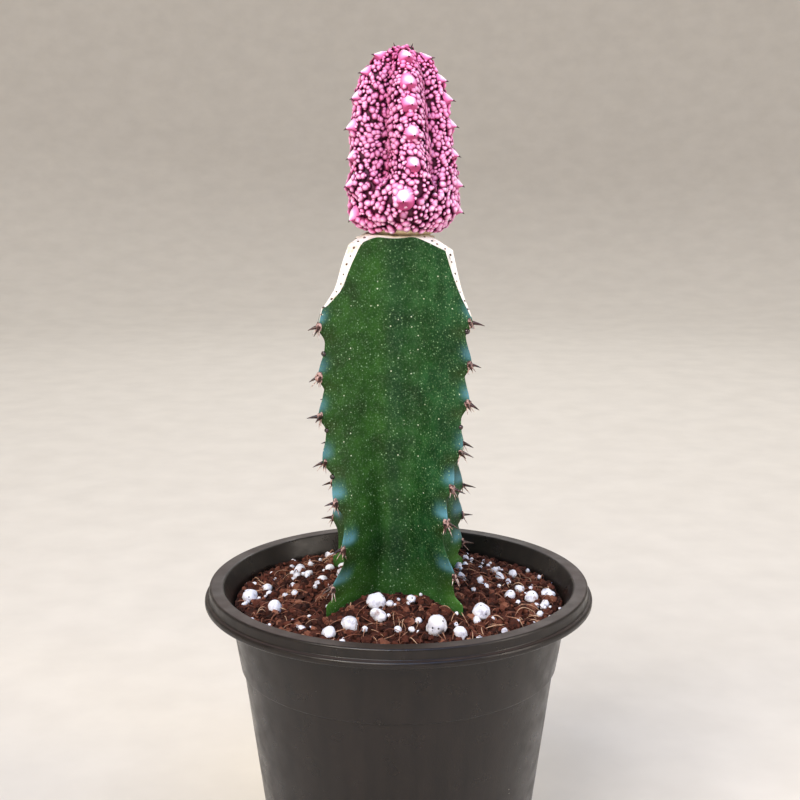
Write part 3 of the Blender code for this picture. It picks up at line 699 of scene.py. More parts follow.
def makeCutDots():
    # a row of dried sap dots along the middle of each wing's cut, evenly spaced down its slope
    rng = np.random.default_rng(5)
    angles = wingTurns(stockShape["topZ"])
    reach = np.linspace(0.0105, 0.0290, 400)
    spots = []
    for wing in range(4):
        ray = np.array((stockShape["axisX"], 0)) + reach[:, None] * np.array((np.cos(angles[wing]), np.sin(angles[wing])))
        height = cutHeight(ray)
        crest = stockPoint(np.full(len(reach), wing), np.zeros(len(reach)), height)
        inside = reach < np.linalg.norm(crest - np.array((stockShape["axisX"], 0)), axis=-1) - 0.0003
        way = np.cumsum(np.hypot(np.gradient(reach), np.gradient(height)))
        marks = np.arange(0.0006, way[inside][-1], thornShape["cutDotSpacing"])
        marks = marks + rng.uniform(-0.0004, 0.0004, len(marks))
        r = np.interp(marks, way, reach)
        turn = angles[wing] + rng.uniform(-0.012, 0.012, len(r))
        spots.append(np.stack((stockShape["axisX"] + r * np.cos(turn), r * np.sin(turn)), -1))
    flat = np.concatenate(spots)
    step = 0.0002
    slopeX = (cutHeight(flat + (step, 0)) - cutHeight(flat - (step, 0))) / (2 * step)
    slopeY = (cutHeight(flat + (0, step)) - cutHeight(flat - (0, step))) / (2 * step)
    out = unit(np.stack((-slopeX, -slopeY, np.ones_like(slopeX)), -1))
    places = np.concatenate((flat, cutHeight(flat)[:, None]), -1) - out * 0.00012
    side = unit(np.cross(out, (0.0, 1.0, 0.0)))
    sizes = thornShape["cutDotRadius"] * rng.uniform(0.7, 1.2, (len(flat), 1)) * np.array((0.7, 1.0, 1.0))
    rings, ends = domes(places, out, side, np.cross(out, side), sizes, np.linspace(-0.35, 0.97, 5), 12)
    dots = makePiece("sapDots", ringSkins(rings, ends), horn("driedSap", "#2b1a12", "#6b4a33", 0.45))
    settle(dots, "stock_skin")


# Soil: a mound of coir with crumbs, fibres and perlite

soilShape = {
    "wallZ": 0.0930, "stemZ": 0.0982, "flatRadius": 0.014, "moundWidth": 0.032, "wallGap": 0.0006,
    "crumbs": 3400, "crumbRadius": (0.00038, 0.00135), "fibres": 520, "smallGrains": 190,
    "grainRadius": (0.00045, 0.0015), "rows": 96,
}
largeGrains = (     # x, y and radius of the grains that lie in plain sight
    (0.0101, -0.0310, 0.0031), (0.0225, -0.0210, 0.0027), (-0.0129, -0.0290, 0.0024),
    (-0.0062, -0.0190, 0.0029), (-0.0055, -0.0255, 0.0023), (0.0375, -0.0040, 0.0021),
    (0.0312, -0.0060, 0.0018), (-0.0422, -0.0015, 0.0023), (-0.0341, -0.0127, 0.0020),
    (-0.0183, -0.0323, 0.0021), (0.0163, -0.0325, 0.0020), (-0.0293, 0.0185, 0.0019),
    (0.0034, -0.0167, 0.0016), (-0.0002, -0.0315, 0.0011),
    (0.0281, -0.0290, 0.0013), (-0.0201, 0.0130, 0.0015), (-0.0376, 0.0046, 0.0014),
)


def soilHeight(x, y):
    # flat round the stem, then a smooth fall to the wall
    fall = smoothStep((np.hypot(x, y) - soilShape["flatRadius"]) / soilShape["moundWidth"])
    return soilShape["stemZ"] - (soilShape["stemZ"] - soilShape["wallZ"]) * fall


def stemOutline(count):
    # the stem's section at the soil line, without teeth
    step = np.linspace(-1, 1, count // 4 + 1)[:-1]
    share = np.tile(np.sign(step) * np.abs(step) ** 1.5, 4)
    wing = np.repeat(np.arange(4), count // 4)
    return stockPoint(wing, share, np.full(len(wing), soilShape["stemZ"]))


def stemDistance(flat):
    # distance from each place to the nearest point of the stem's outline; inside it is negative
    outline = stemOutline(720)
    nearest = np.concatenate([
        np.min(np.linalg.norm(part[:, None] - outline, axis=-1), axis=1)
        for part in np.array_split(flat, max(1, len(flat) // 2000))
    ])
    polar = outline - np.array((stockShape["axisX"], 0.0))
    angles = np.arctan2(polar[:, 1], polar[:, 0])
    order = np.argsort(angles)
    own = flat - np.array((stockShape["axisX"], 0.0))
    edge = np.interp(
        np.arctan2(own[:, 1], own[:, 0]), angles[order], np.linalg.norm(polar, axis=1)[order], period=2 * pi,
    )
    return np.where(np.linalg.norm(own, axis=1) < edge, -nearest, nearest)


def offsetOutline(outline, gap):
    along = np.roll(outline, -1, axis=0) - np.roll(outline, 1, axis=0)
    return outline + gap * unit(np.stack((along[:, 1], -along[:, 0]), -1))


def coir(name, stops, roughness=0.95):
    # shredded coconut husk and peat: matt, rust brown, each crumb in a tone of its own, with pale torn fibre ends
    material, tree, shader, place = newMaterial(name, IOR=1.45, Roughness=roughness, Specular_IOR_Level=0.25)
    tone = addNode(tree, "Attribute", attribute_name="tone").outputs["Fac"]
    mottle = addNode(tree, "TexNoise", {"Vector": place, "Scale": 1100.0, "Detail": 4.0}).outputs["Fac"]
    mixed = addNode(tree, "Math", {0: mottle, 1: 0.55, 2: tone}, operation="MULTIPLY_ADD").outputs[0]
    spread = addNode(tree, "MapRange", {"Value": mixed, "From Min": 0.1, "From Max": 1.4}).outputs[0]
    ramp = addNode(tree, "ValToRGB", {0: spread}, stops=[(place, linear(colour)) for place, colour in stops])
    tree.links.new(ramp.outputs[0], shader.inputs["Base Color"])
    bump = addNode(tree, "Bump", {"Height": mottle, "Strength": 0.6, "Distance": 0.0004})
    tree.links.new(bump.outputs[0], shader.inputs["Normal"])
    return material


def perlite():
    # popped volcanic glass: chalk white with a cool cast, pricked with dark pores and dusted brown near the soil
    material, tree, shader, place = newMaterial("expandedPerlite", IOR=1.5, Roughness=0.85, Specular_IOR_Level=0.3)
    pores = addNode(tree, "TexVoronoi", {"Vector": place, "Scale": 760.0})
    chosen = addNode(tree, "SeparateColor", {0: pores.outputs["Color"]}).outputs[0]
    near = addNode(tree, "MapRange", {"Value": pores.outputs["Distance"], "From Min": 0.27, "From Max": 0.17}).outputs[0]
    kept = addNode(tree, "Math", {0: chosen, 1: 0.66}, operation="GREATER_THAN").outputs[0]
    pore = addNode(tree, "Math", {0: near, 1: kept}, operation="MULTIPLY").outputs[0]
    cloud = addNode(tree, "TexNoise", {"Vector": place, "Scale": 520.0, "Detail": 4.0}).outputs["Fac"]
    chalk = addNode(tree, "ValToRGB", {0: cloud}, stops=[
        (0.32, linear("#a9a7b4")), (0.48, linear("#e4e6f0")), (0.75, linear("#fbfbff")),
    ]).outputs[0]
    dust = addNode(tree, "MapRange", {
        "Value": addNode(tree, "TexNoise", {"Vector": place, "Scale": 300.0, "Detail": 5.0}).outputs["Fac"],
        "From Min": 0.62, "From Max": 0.72, "To Min": 0.0, "To Max": 0.75,
    }).outputs[0]
    soiled = mixColours(tree, dust, chalk, linear("#7a4c31"))
    tree.links.new(mixColours(tree, pore, soiled, linear("#241a18")), shader.inputs["Base Color"])
    bump = addNode(tree, "Bump", {"Height": cloud, "Strength": 0.4, "Distance": 0.0004})
    tree.links.new(bump.outputs[0], shader.inputs["Normal"])
    return material


def scatter(rng, count, low, high, margin):
    # places on the mound, even over its area, clear of the stem and the wall by a margin and their own size
    flat = np.zeros((0, 2))
    sizes = np.zeros(0)
    wall = float(potInnerRadius(soilShape["wallZ"])) - 0.0004
    while len(flat) < count:
        turn = rng.uniform(0, 2 * pi, count)
        size = low + (high - low) * rng.uniform(0, 1, count) ** 2.2
        reach = wall * np.sqrt(rng.uniform(0, 1, count))
        places = np.stack((reach * np.cos(turn), reach * np.sin(turn)), -1)
        good = (reach + size * 1.15 < wall) & (stemDistance(places) > size * 1.1 + margin)
        flat = np.concatenate((flat, places[good]))
        sizes = np.concatenate((sizes, size[good]))
    return flat[:count], sizes[:count]


coirStops = ((0.0, "#170c09"), (0.28, "#331a13"), (0.55, "#5c3125"), (0.80, "#8a5b47"), (1.0, "#c7a487"))


def makeSoil():
    rng = np.random.default_rng(7)
    s = soilShape
    columns = 320
    hole = offsetOutline(stemOutline(columns), 0.0004)
    hole = np.roll(hole, -np.argmin(np.arctan2(hole[:, 1], hole[:, 0]) % (2 * pi)), axis=0)
    turn = np.arange(columns) * 2 * pi / columns
    circle = lambda radius: np.stack((radius * np.cos(turn), radius * np.sin(turn)), -1)
    edge = circle(float(potInnerRadius(s["wallZ"])) - s["wallGap"])
    share = np.linspace(1, 0, s["rows"])[:, None, None] ** 0.9
    top = hole + (edge - hole) * share
    z = soilHeight(top[..., 0], top[..., 1])
    surface = np.concatenate((top, z[..., None]), -1)
    clods = 0.0007 * softNoise(surface, 0.0055) + 0.0005 * softNoise(surface, 0.0021) + 0.00035 * softNoise(surface, 0.0009)
    surface[..., 2] += clods * smoothStep(share[..., 0] / 0.03) - 0.0003
    floorZ = potShape["floorRecess"] + potShape["floorThickness"] + 0.0003
    stepZ = potShape["collarFootZ"] + 0.0014
    walls = []
    for height in (floorZ, potShape["collarFootZ"] - 0.0004, stepZ, s["wallZ"] - 0.0012):
        ring = circle(float(potInnerRadius(height)) - s["wallGap"])
        walls.append(np.concatenate((ring, np.full((columns, 1), height)), -1))
    bottom = np.concatenate((hole, np.full((columns, 1), stockShape["soilZ"] - 0.0125)), -1)
    rings = np.concatenate((walls, surface, [bottom]))
    tone = np.full(rings.shape[:2], 0.12)
    tone[len(walls):-1] = 0.22 + 0.2 * softNoise(surface, 0.0014)
    bed = makePiece(
        "soilBed", ringSkins(rings[None]), coir("packedCoir", coirStops), attributes={"tone": perPoint(tone[None])},
    )
    settle(bed, "potting_soil", "soil")

    flat, radius = scatter(rng, s["crumbs"], *s["crumbRadius"], margin=0.0001)
    lift = soilHeight(*flat.T) + 0.0007 * softNoise(np.pad(flat, ((0, 0), (0, 1)), constant_values=0.095), 0.0055)
    places = np.concatenate((flat, (lift + 0.15 * radius)[:, None]), -1)
    sizes = radius[:, None] * rng.uniform(0.65, 1.25, (len(flat), 3))
    skins = lumps(rng, places, sizes, 3, 6, 0.32)
    tone = np.repeat(rng.beta(1.5, 2.6, len(flat)), 3 * 6 + 2)
    crumbs = makePiece("coirCrumbs", skins, coir("coirCrumb", coirStops), sharpAngle=45, attributes={"tone": tone})
    settle(crumbs, "potting_soil")

    flat, _ = scatter(rng, s["fibres"], 0.0016, 0.0016, margin=0.0006)
    length = rng.uniform(0.0025, 0.0085, len(flat))
    heading = rng.uniform(0, 2 * pi, len(flat))
    curl = rng.normal(0, 0.9, len(flat))
    t = np.linspace(-0.5, 0.5, 8)
    bearing = heading[:, None] + curl[:, None] * t
    x = flat[:, :1] + length[:, None] * np.cumsum(np.cos(bearing), axis=1) / len(t)
    y = flat[:, 1:] + length[:, None] * np.cumsum(np.sin(bearing), axis=1) / len(t)
    hump = rng.uniform(0.0003, 0.0016, (len(flat), 1)) * (1 - (2 * t) ** 2)
    tilt = rng.normal(0, 0.0007, (len(flat), 1)) * t
    z = soilHeight(x, y) + 0.0003 + hump + tilt
    paths = np.stack((x, y, z), -1)
    reach = np.hypot(x, y).max(axis=1)
    kept = (reach < float(potInnerRadius(s["wallZ"])) - 0.0008)
    kept &= np.min(stemDistance(paths[..., :2].reshape(-1, 2)).reshape(len(flat), -1), axis=1) > 0.0004
    paths = paths[kept]
    radii = rng.uniform(0.00007, 0.00020, (len(paths), 1)) * (1 - 0.5 * np.abs(2 * t))
    tone = np.repeat(rng.uniform(0.45, 1.1, len(paths)), len(t) * 4 + 2)
    fibres = makePiece(
        "coirFibres", ringSkins(tubes(paths, radii, 4)), coir("coirFibre", coirStops, 0.7), attributes={"tone": tone},
    )
    settle(fibres, "potting_soil")


def makePerlite():
    rng = np.random.default_rng(17)
    s = soilShape
    white = perlite()
    large = np.array(largeGrains)
    places = np.stack((large[:, 0], large[:, 1], soilHeight(large[:, 0], large[:, 1]) + 0.38 * large[:, 2]), -1)
    sizes = large[:, 2:] * rng.uniform(0.86, 1.08, (len(large), 3)) * (1, 1, 0.9)
    skins = lumps(rng, places, sizes, 15, 28, 0.0)
    points = skins[0]
    owner = np.repeat(np.arange(len(large)), 15 * 28 + 2)
    away = points - places[owner]
    chips = 0.16 * softNoise(points, 0.0022) + 0.07 * softNoise(points, 0.0009) - 0.16 * smoothStep(
        (softNoise(points + 1.0, 0.0026) - 0.35) / 0.25)
    points = places[owner] + away * (1 + chips)[:, None]
    settle(makePiece("perliteLumps", (points, *skins[1:]), white), "potting_soil")
    flat, radius = scatter(rng, 3 * s["smallGrains"], *s["grainRadius"], margin=0.0002)
    clear = np.min(np.linalg.norm(flat[:, None] - large[:, :2], axis=-1) - large[:, 2], axis=1) > radius * 0.8
    behind = rng.uniform(0, 1, len(flat)) < np.where(flat[:, 1] > -0.008, 0.75, 0.45)     # denser at the back
    flat, radius = flat[clear & behind][:s["smallGrains"]], radius[clear & behind][:s["smallGrains"]]
    places = np.concatenate((flat, (soilHeight(*flat.T) + 0.0004 + 0.35 * radius)[:, None]), -1)
    sizes = radius[:, None] * rng.uniform(0.75, 1.2, (len(flat), 3))
    grains = makePiece("perliteGrains", lumps(rng, places, sizes, 4, 8, 0.13), white)
    settle(grains, "potting_soil")


# Scion: five ribs with teeth, covered in granules

scionShape = {
    "axisX": 0.0012, "footZ": 0.1963, "height": 0.0488, "radius": 0.0135, "waistZ": 0.008,
    "frontRib": -82.0, "frontLeans": ((0.021, 0.007, 4.0), (0.009, 0.005, -8.0)),    # height, width, degrees
    "ribTeeth": (
        (0.0097, 0.0187, 0.0265, 0.0340, 0.0392, 0.0457),
        (0.0062, 0.0130, 0.0209, 0.0285, 0.0352, 0.0402, 0.0460),
        (0.0080, 0.0155, 0.0235, 0.0310, 0.0378, 0.0440),
        (0.0055, 0.0140, 0.0218, 0.0295, 0.0365, 0.0430),
        (0.0047, 0.0132, 0.0204, 0.0280, 0.0358, 0.0422, 0.0464),
    ),
    # reach out from the body, rise above and fall below the middle, half width, droop of the tip
    "toothReach": 0.0013, "toothAbove": 0.0032, "toothBelow": 0.0017, "toothWidth": 0.0019, "toothDroop": 0.0009,
    # the rib's own swelling under each tooth: reach, fade above, below and to the sides
    "swellReach": 0.0014, "swellAbove": 0.0052, "swellBelow": 0.0034, "swellWidth": 0.0030,
    "furrowDeep": 0.60, "furrowShallow": 0.93, "ledgeLow": 0.0115, "ledgeHigh": 0.0190, "ledgeRise": 0.0003,
    "curdRise": 0.0005, "curdSize": 0.0032, "granuleSpacing": 0.00124, "neckSide": 0.0013, "neckFront": 0.0023,
}


def scionReach(z, turn):
    # radius of the rib crests: a blunt finger that leans and is blunter to one side, and is narrower at its foot
    s = scionShape
    above = np.clip((z - s["waistZ"]) / (s["height"] - s["waistZ"]), 0, 1)
    below = np.clip((s["waistZ"] - z) / (s["waistZ"] * 1.2), 0, 1)
    toTheRight = np.cos(turn + radians(10))
    lean = 1 - 0.055 * toTheRight * bell(z, 0.028, 0.010)
    return s["radius"] * lean * np.sqrt(1 - above ** (4.1 - 1.1 * toTheRight)) * np.sqrt(1 - below ** 1.8)


def ribTurns(z):
    # angles of the five ribs; the front one leans to and fro
    turns = np.radians(scionShape["frontRib"] + 72.0 * np.arange(5)) + 0 * np.asarray(z)[..., None]
    for height, width, lean in scionShape["frontLeans"]:
        turns[..., 0] += radians(lean) * bell(z, height, width)
    return turns


def ribCrest(z, turn):
    # cos(quarter turn * share)^0.9: 1 on a rib and 0 in the middle of a furrow
    share = np.min(angleBetween(turn[..., None], ribTurns(z)), axis=-1) / radians(36)
    return np.cos(np.clip(share, 0, 1) * pi / 2) ** 0.9


def neckHeight(turn):
    # the granules start higher above the graft in front than at the sides
    front = np.clip(-np.sin(turn), 0, 1) ** 2
    return scionShape["neckSide"] + (scionShape["neckFront"] - scionShape["neckSide"]) * front


def toothSwell(z, turn):
    # 1 on a rib under the tip of each of its teeth: (1 - away / fade)^1.5 above it and (1 - away / fade)^2 below it
    s = scionShape
    turns = ribTurns(z)
    swell = np.zeros(np.broadcast(z, turn).shape)
    for rib, teeth in enumerate(s["ribTeeth"]):
        side = angleBetween(turn, turns[..., rib]) * s["radius"] / s["swellWidth"]
        for tooth in teeth:
            away = z - tooth
            above = np.clip(1 - away / s["swellAbove"], 0, 1) ** 1.5
            below = np.clip(1 + away / s["swellBelow"], 0, 1) ** 2
            swell = np.maximum(swell, np.where(away > 0, above, below) * np.exp(-side ** 2))
    return swell


def belowLedge(z, turn):
    # 1 under an arched ledge that stands higher on the ribs than in the furrows
    s = scionShape
    ledge = s["ledgeLow"] + (s["ledgeHigh"] - s["ledgeLow"]) * ribCrest(z, turn)
    return smoothStep((ledge - z) / 0.0020 + 0.5)


def scionPoint(rise, turn):
    # height = whole * (1 - (1 - rise)^2); radius = reach * (furrow + (1 - furrow) * crest), with shallower furrows
    # and a swollen, lumpy skin under the ledge
    s = scionShape
    z = s["height"] * (1 - (1 - rise) ** 2)
    crest = ribCrest(z, turn)
    low = belowLedge(z, turn)
    furrow = s["furrowDeep"] + (s["furrowShallow"] - s["furrowDeep"]) * low
    radius = scionReach(z, turn) * (furrow + (1 - furrow) * crest)
    radius = radius + s["ledgeRise"] * low * smoothStep(z / 0.004)
    radius = radius + s["swellReach"] * toothSwell(z, turn) * smoothStep(crest / 0.5)
    plain = np.stack((radius * np.cos(turn), radius * np.sin(turn), z), -1)
    curds = softNoise(plain, s["curdSize"]) * (0.35 + 0.65 * low) * smoothStep(z / 0.002)
    radius = radius + s["curdRise"] * curds
    return np.stack((s["axisX"] + radius * np.cos(turn), radius * np.sin(turn), s["footZ"] + z), -1)


def scionFrames(rise, turn):
    # place, outward normal, the direction round the body and the area that a step in both covers
    step = 1e-3
    ahead = scionPoint(rise, turn + step) - scionPoint(rise, turn - step)
    upward = scionPoint(rise + step, turn) - scionPoint(rise - step, turn)
    across = np.cross(ahead, upward)
    area = np.linalg.norm(across, axis=-1) / (4 * step * step)
    return scionPoint(rise, turn), unit(across), unit(ahead), area


def granuleSkin(name, roughness):
    # living warty skin without green in it: waxy, with painted shade, dark plum, at the foot of each granule and
    # between granules, and a painted highlight, pale lavender pink to near white, on each top; more magenta in patches,
    # brown where it has scarred and cream at the graft
    material, tree, shader, place = newMaterial(
        name, IOR=1.42, Roughness=roughness, Specular_IOR_Level=0.4, Subsurface_Weight=0.05, Subsurface_Scale=0.0008,
    )
    shader.inputs["Subsurface Radius"].default_value = (1.0, 0.35, 0.55)
    value = lambda name: addNode(tree, "Attribute", attribute_name=name).outputs["Fac"]
    # painted shade and highlight: both ramps run from dark plum shade at 0 to a near-white highlight at 1
    shade = addNode(tree, "ValToRGB", {0: value("paintedShadeAndHighlight")}, stops=[
        (0.0, linear("#35081f")), (0.30, linear("#7a2a52")), (0.60, linear("#c8709e")),
        (0.86, linear("#efaed6")), (1.0, linear("#fde6f4")),
    ]).outputs[0]
    vivid = addNode(tree, "ValToRGB", {0: value("paintedShadeAndHighlight")}, stops=[
        (0.0, linear("#4f0828")), (0.30, linear("#a1335f")), (0.60, linear("#d8609c")),
        (0.86, linear("#f293cb")), (1.0, linear("#f9bfe2")),
    ]).outputs[0]
    skin = mixColours(tree, value("vivid"), shade, vivid)
    skin = mixColours(tree, value("scar"), skin, linear("#4a2a2a"))
    skin = mixColours(tree, value("neck"), skin, linear("#d8c6a4"))
    tree.links.new(skin, shader.inputs["Base Color"])
    fine = addNode(tree, "TexNoise", {"Vector": place, "Scale": 2200.0, "Detail": 2.0}).outputs["Fac"]
    bump = addNode(tree, "Bump", {"Height": fine, "Strength": 0.25, "Distance": 0.0002})
    tree.links.new(bump.outputs[0], shader.inputs["Normal"])
    return material


def toothPlaces():
    rib = np.concatenate([np.full(len(teeth), n) for n, teeth in enumerate(scionShape["ribTeeth"])])
    z = np.concatenate(scionShape["ribTeeth"])
    turn = np.take_along_axis(ribTurns(z), rib[:, None], -1)[:, 0]
    rise = 1 - np.sqrt(1 - (z + 0.5 * scionShape["toothDroop"]) / scionShape["height"])
    return rib, z, rise, turn


def patchValues(points):
    # how magenta and how scarred the skin is at a place
    _, _, rise, turn = toothPlaces()
    under = scionPoint(rise, turn) - (0, 0, 0.0026)
    away = np.linalg.norm(points[:, None] - under, axis=-1).min(axis=1)
    low = smoothStep((0.012 - (points[:, 2] - scionShape["footZ"])) / 0.008)
    left = smoothStep((-points[:, 0] - 0.001) / 0.010)
    top = smoothStep((points[:, 2] - scionShape["footZ"] - 0.041) / 0.006)
    cloud = 0.5 + 0.5 * softNoise(points, 0.005)
    vivid = np.clip(np.maximum(np.exp(-(away / 0.0017) ** 2), 0.75 * low * left) + 0.75 * top + 0.55 * (cloud - 0.42), 0, 1)
    wound = np.array((0.0021, -0.0143, scionShape["footZ"] + 0.0062))
    scar = 0.85 * np.exp(-(np.linalg.norm((points - wound) / (1, 1, 0.8), axis=-1) / 0.0012) ** 2)
    return vivid, scar


def spreadOverScion(rng):
    # places of even density: along a golden spiral through the cumulative area, first by rise and then by turn
    s = scionShape
    rise = np.linspace(0.008, 0.993, 360)[:, None]
    turn = np.linspace(0, 2 * pi, 361)[None, :-1]
    points, _, _, area = scionFrames(rise + 0 * turn, turn + 0 * rise)
    z = points[..., 2] - s["footZ"]
    spacing = s["granuleSpacing"] * (1 + 0.20 * smoothStep((0.017 - z) / 0.004) - 0.15 * smoothStep((z - 0.036) / 0.008))
    weight = area / spacing ** 2
    total = weight.sum() * (rise[1, 0] - rise[0, 0]) * (turn[0, 1] - turn[0, 0])
    count = int(total * 1.08)
    order = np.arange(count)
    byRise = np.cumsum(weight.sum(axis=1))
    row = np.clip(np.searchsorted(byRise / byRise[-1], (order + 0.5) / count), 0, len(byRise) - 1)
    byTurn = np.cumsum(weight, axis=1)
    byTurn = byTurn / byTurn[:, -1:] + np.arange(len(byTurn))[:, None]
    golden = (order * 0.6180339887498949) % 1.0
    column = np.clip(np.searchsorted(byTurn.ravel(), golden + row) - row * turn.shape[1], 0, turn.shape[1] - 1)
    places, normal, sideways, _ = scionFrames(rise[row, 0], turn[0, column])
    size = spacing[row, column]
    jitter = rng.uniform(-0.38, 0.38, (2, count, 1)) * size[:, None]
    upward = np.cross(normal, sideways)
    places = places + jitter[0] * sideways + jitter[1] * upward
    return places, normal, sideways, upward, size, turn[0, column]


def makeScion():
    rng = np.random.default_rng(11)
    s = scionShape
    turn = np.arange(220) * 2 * pi / 220
    rise = np.linspace(0, 0.985, 170)[:, None]
    core, normal, _, _ = scionFrames(rise + 0 * turn, turn + 0 * rise)
    height = core[..., 2] - s["footZ"]
    neck = neckHeight(turn) + 0 * height
    core = core - normal * (0.0003 * smoothStep((height - neck) / 0.0008))[..., None]
    core[..., 2] = np.maximum(core[..., 2], s["footZ"])
    vivid, scar = patchValues(core.reshape(-1, 3))
    attributes = {
        # painted shade: the body shows only between the granules and is painted dark plum there
        "paintedShadeAndHighlight": perPoint((0.06 + 0 * height)[None]),
        "vivid": perPoint(vivid.reshape(1, *height.shape)),
        "scar": perPoint(scar.reshape(1, *height.shape)),
        "neck": perPoint(smoothStep((neck + 0.0003 - height) / 0.0005)[None]),
    }
    body = makePiece("scionBody", ringSkins(core[None]), granuleSkin("wartySkinPaintedShade", 0.55), attributes=attributes)
    settle(body, "scion_skin", "scion")

    places, normal, sideways, upward, size, turn = spreadOverScion(rng)
    height = places[:, 2] - s["footZ"]
    _, toothZ, toothRise, toothTurn = toothPlaces()
    middle, _, toothSide, _ = scionFrames(toothRise, toothTurn)
    away = places[:, None] - middle
    across = np.einsum("ntk,tk->nt", away, toothSide) / (0.82 * s["toothWidth"])
    along = away[..., 2] / np.where(away[..., 2] > 0, 0.80 * s["toothAbove"], 0.75 * s["toothBelow"])
    nearTooth = np.linalg.norm(away, axis=-1) < 0.005
    free = ~np.any(nearTooth & (across ** 2 + along ** 2 < 1), axis=1)
    free &= (height > neckHeight(turn)) & (np.hypot(places[:, 0] - s["axisX"], places[:, 1]) > 0.0003)
    places, normal, sideways, upward = places[free], normal[free], sideways[free], upward[free]
    height, size, turn = height[free], size[free, None], turn[free]
    count = len(places)
    print("granules", count)
    # the long granules lie along a slowly turning direction, down and to the right beside the front rib
    beside = bell(angleBetween(turn, radians(scionShape["frontRib"] + 22)), 0, 0.30) * (height > 0.02)
    spin = 2.6 * softNoise(places, 0.006) * (1 - beside) - 0.95 * beside + rng.normal(0, 0.25, count)
    first = sideways * np.cos(spin)[:, None] + upward * np.sin(spin)[:, None]
    second = np.cross(normal, first)
    long = 1 + (0.30 + 0.80 * beside[:, None]) * rng.uniform(0, 1, (count, 1)) ** 1.5
    half = size * (0.42 + 0.46 * rng.uniform(0, 1, (count, 1)) ** 1.3)
    sizes = np.concatenate((half * rng.uniform(0.85, 1.25, (count, 1)), half * long, half / long ** 0.4), -1)
    lift = np.array((0.08, 0.50, 0.80, 0.97))
    rows, columns = len(lift), 9
    rings, ends = domes(places, normal, first, second, sizes, lift, columns)
    # each granule bulges and dips a little differently round its edge
    pull = 1 + 0.16 * rng.uniform(-1, 1, (count, 1, columns, 1))
    middleLine = ends[:, :1, None] + (ends[:, 1:, None] - ends[:, :1, None]) * np.linspace(0, 1, rows)[:, None, None]
    rings = middleLine + (rings - middleLine) * pull
    rings[..., 2] = np.maximum(rings[..., 2], stockShape["topZ"])
    ends[..., 2] = np.maximum(ends[..., 2], stockShape["topZ"])
    # painted shade: granules in the furrows above the ledge are darker, each with a random tone of its own as well;
    # each granule runs from painted shade at its foot to a painted highlight on its top
    crest = ribCrest(height, turn)
    light = 1 - 0.30 * (1 - crest) * (1 - belowLedge(height, turn))
    light = light * rng.uniform(0.88, 1.0, count)
    paintedShadeAndHighlight = np.array((0.0, 0.24, 0.78, 0.97))[None, :, None] * light[:, None, None] + 0 * rings[..., 0]
    shadeAndHighlightValues = perPoint(paintedShadeAndHighlight).reshape(count, -1)
    shadeAndHighlightValues[:, -1] = light
    vivid, scar = patchValues(places)
    vivid = np.clip(vivid + rng.normal(0, 0.10, count), 0, 1)
    order = np.argsort(height)
    skin = granuleSkin("waxyPinkGranules", 0.45)
    pointsEach = rows * columns + 2
    for name, part in (("lowerGranules", order[:count // 2]), ("upperGranules", order[count // 2:])):
        piece = makePiece(name, ringSkins(rings[part], ends[part]), skin, attributes={
            "paintedShadeAndHighlight": shadeAndHighlightValues[part].ravel(),
            "vivid": np.repeat(vivid[part], pointsEach),
            "scar": np.repeat(scar[part], pointsEach),
        })
        settle(piece, "scion_skin")


